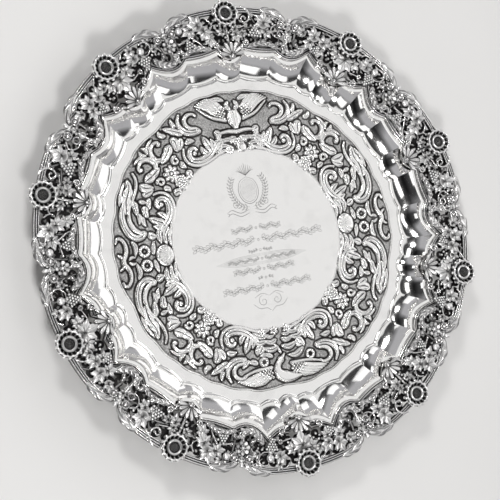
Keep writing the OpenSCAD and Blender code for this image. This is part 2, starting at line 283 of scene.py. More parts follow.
def acanthus(shape, path, width, base, height, lobes=5, shade=0.0):
    """A fluted leaf along a path, with lobed edges and a raised vein."""
    stations = max(8 * lobes, 24)
    path = curve_through(path, stations)
    u = np.linspace(0, 1, stations)
    v = np.linspace(-1, 1, 13)
    swell = np.sin(math.pi * np.clip(u, 0.0, 1) ** 0.75) ** 0.6
    lobe = np.abs(np.sin(math.pi * lobes * u)) ** 0.7
    half = width * np.maximum(swell * (0.62 + 0.38 * lobe), 0.06)
    flute = np.cos(2 * math.pi * (lobes * u[:, None] - 1.1 * np.abs(v)))
    arch = np.sqrt(1.02 - v[None] ** 2)
    vein = np.exp(-((v / 0.14) ** 2))[None]
    rise = (0.25 + 0.75 * swell)[:, None]
    top = base + height * rise * (0.3 + 0.5 * arch + 0.16 * flute * (1 - vein) + 0.14 * vein)
    # Painted shade: the flute valleys and the leaf's sloping sides are coloured darker
    dark = 0.5 * (0.5 - 0.5 * flute) * (1 - vein) + 0.3 * (1 - arch) + shade
    shape.ribbon(path, half, top, base, dark)


LEAF_LOBES = ((0, 1.0), (50, 0.86), (-50, 0.86), (108, 0.68), (-108, 0.68))


def vine_leaf(shape, x, y, heading, size, base, height=3.2):
    """A puffed vine leaf with five pointed lobes. heading is clockwise from outwards."""
    size *= 1.12
    around, rings = 80, 9
    theta = np.arange(around) * 360 / around - 180
    reach = np.full(around, 0.50)
    ridge = np.zeros(around)
    for at, length in LEAF_LOBES:
        off = np.abs((theta - at + 180) % 360 - 180)
        tooth = 0.05 * np.cos(np.radians(off) * 14)
        reach = np.maximum(reach, length * (1.02 - 0.50 * (off / 30) ** 1.7) + tooth)
        ridge = np.maximum(ridge, np.exp(-((off / 19) ** 2)))
    vein = np.max([np.exp(-((((theta - at + 180) % 360 - 180) / 5) ** 2)) for at, _ in LEAF_LOBES], 0)
    rho = np.linspace(1, 0.07, rings)[:, None]
    puff = np.sin(math.pi * np.clip(rho, 0, 1) ** 0.8) ** 0.7
    crinkle = 0.05 * np.cos(np.radians(theta) * 17 + rho * 6)
    z = base + height * (0.34 + puff * (0.22 + 0.40 * ridge) - 0.15 * vein * puff + crinkle * puff)
    turn = np.radians(theta + heading)
    rad = size * reach * rho
    rows = np.stack([x + rad * np.sin(turn), y + rad * np.cos(turn), z], -1)
    back = rows[0].copy()
    back[:, 2] = base
    # Painted shade: darker in the valleys between the lobes, at the centre and along the veins
    dark = 0.75 * (1 - ridge) ** 1.6 * puff + 0.8 * np.clip(1 - rho * 4, 0, 1) + 0.45 * vein * puff
    dark = np.concatenate([np.full((1, around), 0.6), dark * np.ones((rings, around))])
    shape.loops(np.concatenate([back[None], rows]), dark)


def vine_leaves(shape, *leaves):
    """Several leaves, each as x, y, heading, size, and how far its base lies over the castings' tops."""
    for x, y, heading, size, up in leaves:
        vine_leaf(shape, x, y, heading, size, CAST_Z + up)


def grapes(shape, x, y, heading, rows, z, bead=1.85):
    """A bunch that narrows along its heading, over a squashed backing ball."""
    pitch = bead * 2.02
    c, s = math.cos(math.radians(heading)), math.sin(math.radians(heading))
    for row in range(rows):
        for j in range(rows - row):
            u, v = (j - (rows - row - 1) / 2) * pitch, row * pitch * 0.87
            px, py = x + u * c + v * s, y - u * s + v * c
            up = 0.9 * math.cos((j - (rows - row - 1) / 2) * 0.9) + random.uniform(-0.3, 0.3)
            shape.ball(px, py, z + up, bead, columns=12, rows=7)
    span = rows * pitch
    # The backing ball's dark colour is painted shade between the grapes
    shape.ball(x + span * 0.3 * s, y + span * 0.3 * c, z - bead * 0.7, span * 0.42, span * 0.46, bead * 1.1,
               heading, columns=14, rows=6, shade=0.85)


def ring(shape, x, y, outer, z, thick=1.2, eye=0.0):
    """A small round ring, which may hold a bead."""
    turn = np.linspace(0, 2 * math.pi, 25)
    middle = outer - thick
    tube = np.linspace(0, 2 * math.pi, 8, endpoint=False)
    rows = [[(x + (middle + thick * math.cos(b)) * math.cos(a),
              y + (middle + thick * math.cos(b)) * math.sin(a),
              z + thick * 1.3 * math.sin(b)) for b in tube] for a in turn]
    shape.loops(rows)
    if eye:
        shape.ball(x, y, z, eye)


def tendril(shape, points, radius, z, sides=8, shade=0.0):
    """A thin stalk or curl that tapers to its end."""
    path = curve_through(points, 8 * len(points))
    taper = np.linspace(1, 0.55, len(path))
    shape.tube(lift(path, z), radius * taper, sides, shade)


def rosette(shape, x, y, radius, z, petals=7, height=3.4):
    """A small open flower with cupped petals and a beaded heart."""
    around = petals * 10
    theta = np.arange(around) * 2 * math.pi / around
    lobe = np.abs(np.cos(theta * petals / 2))
    rho = np.array([1, 0.93, 0.8, 0.65, 0.5, 0.38, 0.3])[:, None]
    rad = radius * rho * (1 - 0.24 * (1 - lobe) * np.clip(rho * 1.4 - 0.3, 0, 1))
    cup = np.interp(rho, [0.3, 0.5, 0.8, 0.93, 1], [0.35, 0.45, 0.85, 1.0, 0.8])
    z_top = z + height * cup * (0.72 + 0.28 * lobe)
    rows = np.stack([x + rad * np.sin(theta), y + rad * np.cos(theta), z_top * np.ones_like(rad)], -1)
    back = rows[0].copy()
    back[:, 2] = z
    # Painted shade: darker between the petals and in the middle of the cup
    dark = np.clip(0.9 * (1 - lobe) + 0.5 * (rho < 0.6), 0, 1) * np.ones_like(rad)
    shape.loops(np.concatenate([back[None], rows]), np.concatenate([np.full((1, around), 0.6), dark]))
    shape.ball(x, y, z + height * 0.5, radius * 0.26)
    for k in range(6):
        a = k * math.pi / 3
        shape.ball(x + radius * 0.33 * math.cos(a), y + radius * 0.33 * math.sin(a), z + height * 0.55,
                   radius * 0.1, columns=8, rows=6)


def palmette(shape, x, y, radius, base, height, fingers=7, spread=78):
    """A fan shell: separate ribs that open outwards from a hinge, over a flat backing coloured dark as
    painted shade.
    """
    turn = np.radians(np.linspace(-spread - 8, spread + 8, 30))
    edge = np.stack([x + radius * 0.8 * np.sin(turn), y + radius * 0.8 * np.cos(turn)], 1)
    edge = np.concatenate([edge,
                           [[x + radius * 0.3, y - radius * 0.16], [x - radius * 0.3, y - radius * 0.16]]])
    # The backing is coloured fully dark: painted shade in the gaps between the ribs
    shape.loops([lift(edge, base), lift(edge, base + height * 0.3)], 1.0)
    for k in range(fingers):
        share = 2 * k / (fingers - 1) - 1
        heading = math.radians(share * spread)
        length = radius * (1.0 - 0.12 * share**2 + (0.05 if k % 2 == 0 else -0.05))
        u = np.linspace(0, 1, 12)
        reach = 0.14 * radius + u * (length - 0.14 * radius)
        path = np.stack([x + reach * math.sin(heading), y + reach * math.cos(heading)], 1)
        half = radius * 0.23 * np.sin(math.pi * (0.12 + 0.8 * u)) ** 0.6 * (0.22 + 0.78 * u)
        half[-1] *= 0.6
        v = np.linspace(-1, 1, 9)
        rise = 0.55 + 0.45 * u**1.5
        rise[-1] *= 0.8
        rib = 0.4 + 0.6 * np.sqrt(1.001 - v**2) - 0.16 * np.exp(-((v / 0.2) ** 2))
        top = base + height * rise[:, None] * rib[None]
        # Painted shade: the ribs darken towards their edges and towards the hinge
        dark = 0.5 * (np.abs(v)[None] ** 3) + 0.5 * (1 - u)[:, None] ** 2
        shape.ribbon(path, half, top, base, dark)
    acanthus(shape, [(x - radius * 0.3, y), (x, y - radius * 0.12), (x + radius * 0.3, y)], radius * 0.16,
             base, height * 0.8, 3)


def volute(shape, x, y, radius, z, side):
    """A small scroll end: a curled wire round an eye."""
    curl = spiral(x, y, radius, radius * 0.45, 90, -side * 430, 36)
    shape.tube(lift(curl, z), np.linspace(1.25, 0.8, 36), 8)
    shape.ball(x, y, z, radius * 0.34)


# ---- The border's castings and vine sprays ----


def rail_along_rim(shape, middle, section, z_base):
    """A rail that follows the rim line, over one casting. section lists (distance out, height)."""
    inside = []
    for k in range(-1, 2):
        inside += [k * 360 / REPEATS + c for c in CREASE[:-1]]
    offset = middle % (360 / REPEATS)
    marks = [-HALF_CAST, HALF_CAST] + [c - offset for c in inside if abs(c - offset) < HALF_CAST - 0.2]
    angles = np.concatenate([np.linspace(a, b, 14, endpoint=False)
                             for a, b in zip(sorted(marks), sorted(marks)[1:])] + [[HALF_CAST]])
    radius = rim_line(angles + middle)
    turn = np.radians(-angles)
    rows = [[((r + out) * math.sin(t), (r + out) * math.cos(t), z_base + z) for out, z in section]
            for r, t in zip(radius, turn)]
    # Painted shade: the lower part of the rail's section is coloured darker
    shade = [0.0 if z > 2.6 else 0.5 for out, z in section]
    shape.loops(rows, np.broadcast_to(shade, (len(rows), len(section))))


# Cross-section of the inner rail: a bead, a hollow and a reed on a flat back
INNER_SECTION = [(0, 0), (0, 2.2), (0.5, 3.4), (1.2, 3.9), (1.9, 3.4), (2.3, 2.4), (2.9, 2.0), (3.6, 2.2),
                 (4.1, 3.2), (4.8, 4.3), (5.4, 4.2), (5.9, 3.2), (6, 0)]


def outer_arm(cast, side):
    """Half of the outer rail: reeded, then wrapped by a leaf, and curled in to a ball."""
    line = [(15.5, 286.2), (30, 285), (45, 282.8), (57, 280), (67, 276), (75, 271), (79.3, 265.5),
            (78.6, 259.5), (74, 256.8), (70.3, 259.4), (70.4, 263.4), (73.2, 264.8)]
    path = curve_through(flip(line, side), 90)
    half = np.interp(np.linspace(0, 1, 90), [0, 0.5, 0.7, 1], [4.0, 3.9, 3.3, 1.2])
    reeded_rail(cast, path, half, FLANGE_Z, 5.2)
    wrap = [(48, 283.5), (58, 282), (68, 278.5), (76.5, 272.5), (80, 265), (78, 259)]
    acanthus(cast, flip(wrap, side), 5.4, FLANGE_Z + 3.2, 4.0, 3)
    tongue = [(55, 277.5), (63, 273), (69, 269.5), (73.5, 268)]
    acanthus(cast, flip(tongue, side), 3.4, FLANGE_Z + 1.5, 3.6, 4)
    ring(cast, 74.6 * side, 262, 5.6, FLANGE_Z + 4.6, 1.3)
    cast.ball(74.6 * side, 262, FLANGE_Z + 4.2, 3.0, 3.0, 3.4)


def frame_stems(cast, middle):
    """The bars that tie the rails of a casting together, under the ornaments."""
    low = FLANGE_Z + 2.0
    for side in (-1, 1):
        # The side bars are coloured darker (0.6): painted shade under the ornaments
        tendril(cast, flip([(0, 256), (25, 262), (45, 262), (60, 260), (72, 261)], side), 1.9, low, 8, 0.6)
        tendril(cast, flip([(72, 262), (70, 250), (68, 240), (66, 232)], side), 1.9, low, 8, 0.6)
        tendril(cast, flip([(30, 284), (38, 272), (42, 262), (40, 250), (38, 240)], side), 1.7, low, 8, 0.6)
    tendril(cast, [(0, rim_line(middle) + RAIL_IN + 3), (0, 250), (0, 268), (0, 282)], 2.6, low)
    cast.ball(0, DAISY_Y, FLANGE_Z + 3.1, 8, 8, 2.6)


def undergrowth(cast, middle):
    """Dark scrollwork in the depth of a casting, between its rails; its dark colour is painted shade in the
    openwork.
    """
    for column in range(12):
        for row in range(4):
            angle = -16.2 + 2.95 * column + (1.4 if row % 2 else 0)
            r = 249.5 + 8.8 * row
            inner = rim_line(middle - angle) + RAIL_IN + INNER_RAIL_W
            if angle > 17 or r < inner + 4:
                continue
            a = math.radians(angle)
            side = 1 if (row + column) % 2 else -1
            curl = spiral(r * math.sin(a), r * math.cos(a), 5.4, 2.4, 90 * row + 40 * column, side * 400,
                          26)
            half = np.linspace(2.5, 1.3, 26)
            crown = 1.9 + 0.8 * np.cos(np.linspace(-1.2, 1.2, 5)) + 0.3 * (row % 2)
            # Shade 1.0: the scrollwork is coloured fully dark, as painted shade
            cast.ribbon(curl, half, FLANGE_Z + np.broadcast_to(crown, (26, 5)), FLANGE_Z + 0.8, 1.0)


def casting_a():
    """The casting under the daisies that stand over the wide panels, with plain rails beside its shell."""
    cast, vine = Shape(), Shape()
    z = CAST_Z
    rail_along_rim(cast, 0, [(out + RAIL_IN, height) for out, height in INNER_SECTION], FLANGE_Z)
    frame_stems(cast, 0)
    undergrowth(cast, 0)
    for side in (-1, 1):
        outer_arm(cast, side)
        volute(cast, 19.5 * side + 2, 243.5, 4.4, FLANGE_Z + 4.6, side)
        # Leaves that lie along the inner rail
        acanthus(cast, flip([(24, 239), (34, 240), (46, 243), (54, 249)], side), 4.2, FLANGE_Z + 2.5, 4.2,
                 5)
        acanthus(cast, flip([(66, 231), (58, 236), (52, 239), (40, 238.5)], side), 3.8, FLANGE_Z + 3, 3.8,
                 5)
        acanthus(cast, flip([(58, 233), (66, 238), (72, 236), (76, 231)], side), 3.4, FLANGE_Z + 3, 4.2, 4)
    # The crescents of the shell's cup
    for side in (-1, 1):
        cup = flip([(2, 229), (9, 231), (15, 236), (17.5, 242)], side)
        cast.tube(lift(curve_through(cup, 24), FLANGE_Z + 4.4), np.linspace(1.7, 1.1, 24), 8)
    # Right of the daisy: a curl and its tendrils
    tendril(cast,
            [(24, 290), (30, 286.5), (33.2, 280), (32, 273), (27, 269.3), (22.4, 271.5), (22.5, 276),
             (26, 277.3), (28.4, 274.5)], 1.7, z - 1)
    tendril(cast, [(33, 280), (39, 278.5), (43, 275), (45, 270)], 1.2, z - 1)
    tendril(cast, [(16, 263), (22, 264.5), (28, 266)], 1.1, z - 1)
    tendril(cast, [(68, 263), (61, 259.5), (60.5, 253), (64, 247.5), (70, 245)], 1.2, z - 1.2)
    ring(cast, 72, 250.5, 5.4, z - 1.2, 1.35)
    tendril(cast, [(75, 246.5), (80, 243), (83, 238)], 1.1, z - 1.2)
    # Left of the daisy: thin tendrils
    tendril(cast, [(-25, 276.5), (-21, 272.5), (-20, 267), (-24.5, 261.5)], 1.1, z - 1)
    tendril(cast, [(-20.5, 269.5), (-17, 272.5), (-12, 274)], 1.0, z - 1)
    tendril(cast, [(-66, 248), (-59, 251.5), (-52, 255.5)], 1.2, z - 1.2)
    cast.ball(-66, 248, z - 1.2, 1.8)
    tendril(cast, [(-50, 257), (-44, 252), (-38, 247), (-34, 241)], 1.4, z - 1.6)
    # The vine
    vine_leaves(vine, (50, 266, 14, 13.2, 0), (43, 258.5, -128, 9.6, -0.8), (52, 255, 150, 8.6, -1.2),
                (-40, 269.5, -32, 12.6, 0.2), (-32, 262, 150, 11.5, 0), (-50, 264, -118, 10.4, -0.8),
                (-25.5, 252, 175, 9.4, -0.8), (10, 262, 10, 7.6, -0.6), (10.5, 254.5, 168, 9.2, -0.6),
                (-7, 259, -70, 7.4, -1.2), (20, 256, 110, 6.6, -1.2))
    grapes(vine, 33, 258, 132, 5, z + 0.4)
    grapes(vine, -56, 247, 100, 4, z - 0.8, 1.7)
    vine.ball(-65, 264.5, z + 0.6, 4.9, 4.9, 3.6)
    vine.ball(-66, 271.5, z, 2.2)
    vine_leaves(vine, (-60, 271.5, 40, 7.5, -0.8), (-76, 257, -150, 6.4, -0.8), (80, 259, 30, 6.0, -0.8))
    for x, y in ((-4, 252), (-6, 256.5), (-2, 248.5), (1, 258), (-12, 268), (63, 264), (-47, 251)):
        vine.ball(x, y, z, 1.7)
    return cast, vine


def casting_b():
    """The casting under the other daisies, with a rippling inner rail hugged by large leaves."""
    cast, vine = Shape(), Shape()
    z = CAST_Z
    middle = SECTION_ANGLE
    rail_along_rim(cast, middle, [(out + RAIL_IN, height) for out, height in INNER_SECTION], FLANGE_Z)
    frame_stems(cast, middle)
    undergrowth(cast, middle)
    for side in (-1, 1):
        outer_arm(cast, side)
        volute(cast, 25 * side, 237.5, 4.8, FLANGE_Z + 4.6, side)
        # The large leaf that hugs the sag of the rail, with its curled end
        hug = [(53, 250), (54.5, 243.5), (57.5, 237), (63, 231), (70, 228), (76.5, 228.5), (79, 232)]
        acanthus(cast, flip(hug, side), 5.8, FLANGE_Z + 2.5, 5.2, 6)
        volute(cast, 77.5 * side, 231.5, 4.0, FLANGE_Z + 4.8, side)
        spur = [(60, 240), (66, 243), (68, 249)]
        acanthus(cast, flip(spur, side), 3.6, FLANGE_Z + 2.5, 4.4, 3)
        acanthus(cast, flip([(31, 243), (38, 246.5), (46, 246)], side), 2.8, FLANGE_Z + 3, 3.6, 3)
        cup = flip([(2, 226.5), (9, 228), (15, 231.5), (20, 235)], side)
        cast.tube(lift(curve_through(cup, 24), FLANGE_Z + 4.4), np.linspace(1.6, 1.1, 24), 8)
    # Curls beside the daisy
    tendril(cast, [(-17, 284), (-23, 280), (-26.5, 275), (-25.5, 270.5), (-21.5, 270.5)], 1.4, z - 1)
    tendril(cast, [(22.5, 277), (26.5, 281), (32, 282.5)], 1.3, z - 1)
    tendril(cast, [(52, 274.5), (59, 273), (62.5, 267), (60, 261), (53.5, 258), (46.5, 259.5)], 1.3,
            z - 0.8)
    tendril(cast, [(-48, 250), (-44, 248.5), (-38, 249)], 1.3, z - 1)
    cast.ball(-48, 250, z - 1, 1.9)
    tendril(cast, [(16, 248.5), (22, 249.3), (27, 250)], 1.1, z - 1)
    ring(cast, 30, 250, 3.4, z - 0.8, 1.1, 0.9)
    tendril(cast, [(60, 251), (63, 255), (68, 254), (69, 249.5)], 1.2, z - 1.2)
    # The vine
    vine_leaf(vine, 3, 259, 180, 15.5, z, 3.8)
    vine_leaves(vine, (-8.5, 262, -112, 9.6, -0.6), (15, 261.5, 112, 9.6, -0.6), (34, 266.5, -20, 10.8, 0),
                (36.5, 276.5, 30, 7.0, -0.6))
    vine.ball(47.5, 266.8, z + 0.8, 5.0, 5.0, 3.6)
    vine_leaves(vine, (43, 263, 140, 7.4, -1), (-47, 265, -25, 11.6, 0), (-49, 255.5, -160, 9.8, -0.6),
                (-32.5, 263.5, 30, 10.8, 0), (-33, 254, 175, 9.0, -0.8), (-20.5, 266, 12, 7.8, -0.4),
                (-63, 262, -60, 8.4, -0.8), (63, 258, 70, 6.6, -1))
    grapes(vine, 38.5, 251.5, 74, 5, z + 0.4, 1.7)
    grapes(vine, -39.5, 252, 150, 4, z + 0.2, 1.6)
    for x, y in ((-21, 256.5), (-22.5, 252), (-15, 258.5), (19.5, 256.5), (20.5, 252.5), (-18, 249.5),
                 (-14, 253.5), (-10, 251), (12, 251), (56, 254)):
        vine.ball(x, y, z, 1.6)
    return cast, vine


# ---- Daisies, shells and joints ----


def daisy():
    """A cupped daisy: two tiers of petals round a hollow coloured dark as painted shade, and a beaded heart
    in a collar.
    """
    flower = Shape()
    petals = 14
    seat, height = DAISY_LOW[2], DAISY_TOP - DAISY_LOW[2]
    around = petals * 12
    theta = np.arange(around) * 2 * math.pi / around
    within = np.abs((theta * petals / (2 * math.pi)) % 1 - 0.5) * 2
    # The dish, painted dark inside as shade, lighter on the ridges between the petals and towards its edge
    rho = np.array([0.93, 0.9, 0.84, 0.76, 0.68, 0.6, 0.52, 0.44, 0.36])[:, None]
    rad = DAISY_R * rho * (1 - 0.05 * within**3 * (rho > 0.7))
    dish = np.interp(rho, [0.36, 0.52, 0.62, 0.76, 0.9, 0.93], [0.22, 0.16, 0.24, 0.46, 0.74, 0.6])
    ridge = 0.26 * np.exp(-(((within - 1) / 0.32) ** 2)) * np.clip((rho - 0.5) / 0.1, 0, 1) * (rho < 0.88)
    z = seat + height * (dish + ridge)
    rows = np.stack([rad * np.sin(theta), DAISY_Y + rad * np.cos(theta), z], -1)
    under = rows[[0, 0]].copy()
    under[0, :, :2] = (under[0, :, :2] - [0, DAISY_Y]) * 0.4 + [0, DAISY_Y]
    under[0, :, 2] = seat
    under[1, :, 2] -= 1.3
    dark = np.clip(1.05 - 4.4 * ridge - 3.0 * np.clip(rho - 0.82, 0, 1), 0, 1)
    flower.loops(np.concatenate([under, rows]), np.concatenate([np.full((2, around), 0.5), dark]))
    # Outer petals, low, with round ends
    for k in range(petals):
        a = (k + 0.5) * 2 * math.pi / petals
        c, s = math.cos(a), math.sin(a)
        flower.ball(DAISY_R * 0.885 * s, DAISY_Y + DAISY_R * 0.885 * c, seat + height * 0.5, 2.2, 2.3, 1.9,
                    math.degrees(a), columns=14, rows=9)
    # The rolled rim, one loop over each inner petal
    phase = np.linspace(0, 2 * math.pi, petals * 12 + 1)
    bulge = np.abs(np.sin(phase * petals / 2)) ** 0.6
    r = DAISY_R * (0.755 + 0.075 * bulge)
    rim = np.stack([r * np.sin(phase), DAISY_Y + r * np.cos(phase), seat + height * (0.76 + 0.08 * bulge)],
                   1)
    flower.tube(rim, 1.25, 8)
    ring(flower, 0, DAISY_Y, 10.0, seat + 3.4, 1.75)
    # The heart is coloured fully dark and its beads half dark: painted shade between the beads
    flower.ball(0, DAISY_Y, seat + 1.4, 7.2, 7.2, 2.4, columns=28, rows=10, shade=1.0)
    for k in range(42):
        r, a = 6.3 * math.sqrt((k + 0.5) / 42), k * 2.39996
        rise = 2.4 * math.sqrt(max(0.0, 1 - (r / 7.2) ** 2))
        flower.ball(r * math.cos(a), DAISY_Y + r * math.sin(a), seat + 1.4 + rise, 0.55, columns=7, rows=5,
                    shade=0.5)
    return flower


def shell(middle):
    """The shell on the inner rail, below a daisy."""
    fan = Shape()
    hinge = rim_line(middle) + RAIL_IN
    palmette(fan, 1, hinge + 0.6, 17.6, FLANGE_Z + 4.2, 4.4)
    fan.ball(1, hinge + 1, FLANGE_Z + 6, 2.1)
    return fan


def joint_ornament(middle):
    """The bud over a joint of the outer rails, its stalk, and the rosette or ring beside it."""
    made = Shape()
    y = 283
    made.ball(0, y - 3, FLANGE_Z + 6.4, 2.7, 4.2, 2.7)
    made.ball(0, y - 8, FLANGE_Z + 5, 3.6, 2.0, 2.4)
    for side in (-1, 1):
        acanthus(made, flip([(0.5, y - 13), (3.2, y - 9), (4, y - 3)], side), 1.9, FLANGE_Z + 4.2, 2.8, 3)
    if middle % 2 == 0:
        rosette(made, 0, 260, 9.0, CAST_Z - 0.6)
    else:
        ring(made, 0, 257, 4.6, CAST_Z - 0.6, 1.3)
        vine_leaf(made, 1, 265, 10, 6.8, CAST_Z - 0.8)
    tendril(made, [(0, 279), (0, 270), (0, 258), (0, 246), (0, 237)], 1.7, FLANGE_Z + 4.4)
    acanthus(made, [(-5, 236), (0, 241), (0, 249)], 3.2, FLANGE_Z + 4.2, 3.4, 3)
    acanthus(made, [(5, 236), (1, 241), (1, 248)], 2.8, FLANGE_Z + 4.2, 3.0, 3)
    return made


# ---- The plate ----


def plate_angles():
    return np.concatenate([k * 360 / REPEATS + CREASE[i]
                           + PANEL_WIDTH[i] * np.linspace(0, 1, 12, endpoint=False)
                           for k in range(REPEATS) for i in range(8)])


def cavetto(slope):
    """How far across and up the cavetto a slope in radians is reached, each as a share."""
    first, last = math.radians(FOOT_SLOPE), math.radians(TOP_SLOPE)
    out = (math.sin(slope) - math.sin(first)) / (math.sin(last) - math.sin(first))
    up = (math.cos(first) - math.cos(slope)) / (math.cos(first) - math.cos(last))
    return out, up


def plate():
    """The raised sheet: flat well, bright disc bounded by a line, swelling cavetto and flange."""
    made = Shape()
    angles = plate_angles()
    foot, rim = foot_line(angles), rim_line(angles)
    depth = FLANGE_Z - FLOOR_Z
    slopes = np.linspace(math.radians(TOP_SLOPE), math.radians(FOOT_SLOPE), 16)
    top = [(rim + FLANGE_W, FLANGE_Z - 0.3), (rim + FLANGE_W - 0.5, FLANGE_Z), (rim + 2, FLANGE_Z),
           (rim + 1, FLANGE_Z), (rim - STRIP_W * 0.5, FLANGE_Z - 0.1),
           (rim - STRIP_W + 0.9, FLANGE_Z - 0.1)]
    for s in slopes:
        out, up = cavetto(s)
        top.append((foot + (rim - STRIP_W - foot) * out, FLOOR_Z + depth * up))
    # The rounded fillet along the foot, then the flat well
    for inset, rise in ((0.5, 0.0), (0.9, 0.35), (1.5, 0.62), (2.2, 0.62), (2.8, 0.35), (3.2, 0.0),
                        (3.8, 0.02), (4.3, 0.22), (4.8, 0.0), (6.5, 0.0)):
        top.append((foot - inset, FLOOR_Z + rise))
    for r in (190, 150, DISC_R + 0.7, DISC_R + 0.2, DISC_R - 0.2, DISC_R - 0.7, 80, 40, 1):
        sunk = 0.4 if abs(r - DISC_R) < 0.5 else 0.0
        top.append((np.full_like(foot, r), FLOOR_Z - sunk))
    bottom = [(np.full_like(foot, r), FLOOR_Z - SHEET_T) for r in (1.0, 150.0)]
    for s in slopes[::-1]:
        out, up = cavetto(s)
        bottom.append((foot + (rim - STRIP_W - foot) * out + SHEET_T * math.sin(s),
                       FLOOR_Z + depth * up - SHEET_T * math.cos(s)))
    bottom.append((rim + FLANGE_W, FLANGE_Z - SHEET_T))
    turn = np.radians(angles + FIRST_ANGLE)
    rows = [np.stack([r * np.cos(turn), r * np.sin(turn), np.full_like(turn, z)], 1) for r,
            z in bottom + top]
    # The flange is coloured dark where the castings cover it: painted shade under the openwork
    shade = np.zeros((len(rows), len(turn)))
    shade[len(bottom):len(bottom) + 3] = 1.0
    made.loops(rows, shade)
    return made


def moulding():
    """The wire along the rim line: a rounded bead with a fillet on its inner side."""
    made = Shape()
    angles = plate_angles()
    radius = rim_line(angles)
    turn = np.radians(angles + FIRST_ANGLE)
    height = MOULDING_TOP - FLANGE_Z
    section = [(0.0, -0.05), (0.0, 0.45), (0.35, 0.55), (0.7, 0.5), (0.8, 0.8), (1.3, 0.97), (1.9, 1.0),
               (2.5, 0.9), (2.9, 0.6), (3.0, -0.05)]
    rows = [np.stack([(radius + out) * np.cos(turn), (radius + out) * np.sin(turn),
                      np.full_like(turn, FLANGE_Z + height * up)], 1) for out, up in section]
    n, m = len(rows), len(turn)
    start = np.arange(n)[:, None] * m
    here, after = np.arange(m)[None, :], (np.arange(m)[None, :] + 1) % m
    beyond = (np.arange(n)[:, None] + 1) % n * m
    quads = np.stack([start + here, start + after, beyond + after, beyond + here], -1).reshape(-1, 4)
    # Painted shade: darker in the dip between fillet and bead, and at the foot of both sides
    shade = np.repeat([0.3, 0.1, 0, 0.7, 0.3, 0, 0, 0, 0.2, 0.5], m)
    made.add(np.concatenate(rows), [quads], shade)
    return made


# ---- The chased band ----

BAND_IN = DISC_R - 1.2
# How far the band stops short of the cavetto's foot
BAND_SETS_BACK = 16.5
# Grid of the height field, round the quarter and outwards
BAND_STATIONS, BAND_RINGS = 470, 172
# Height of the punched ground over the well
GROUND = 0.14
# The chased work and the engraving lie this far round, anticlockwise, from the border's pattern
BAND_TURN = 1.0
# Every chased scroll and leaf is this many times as wide as the width given for it
FULLNESS = 1.15


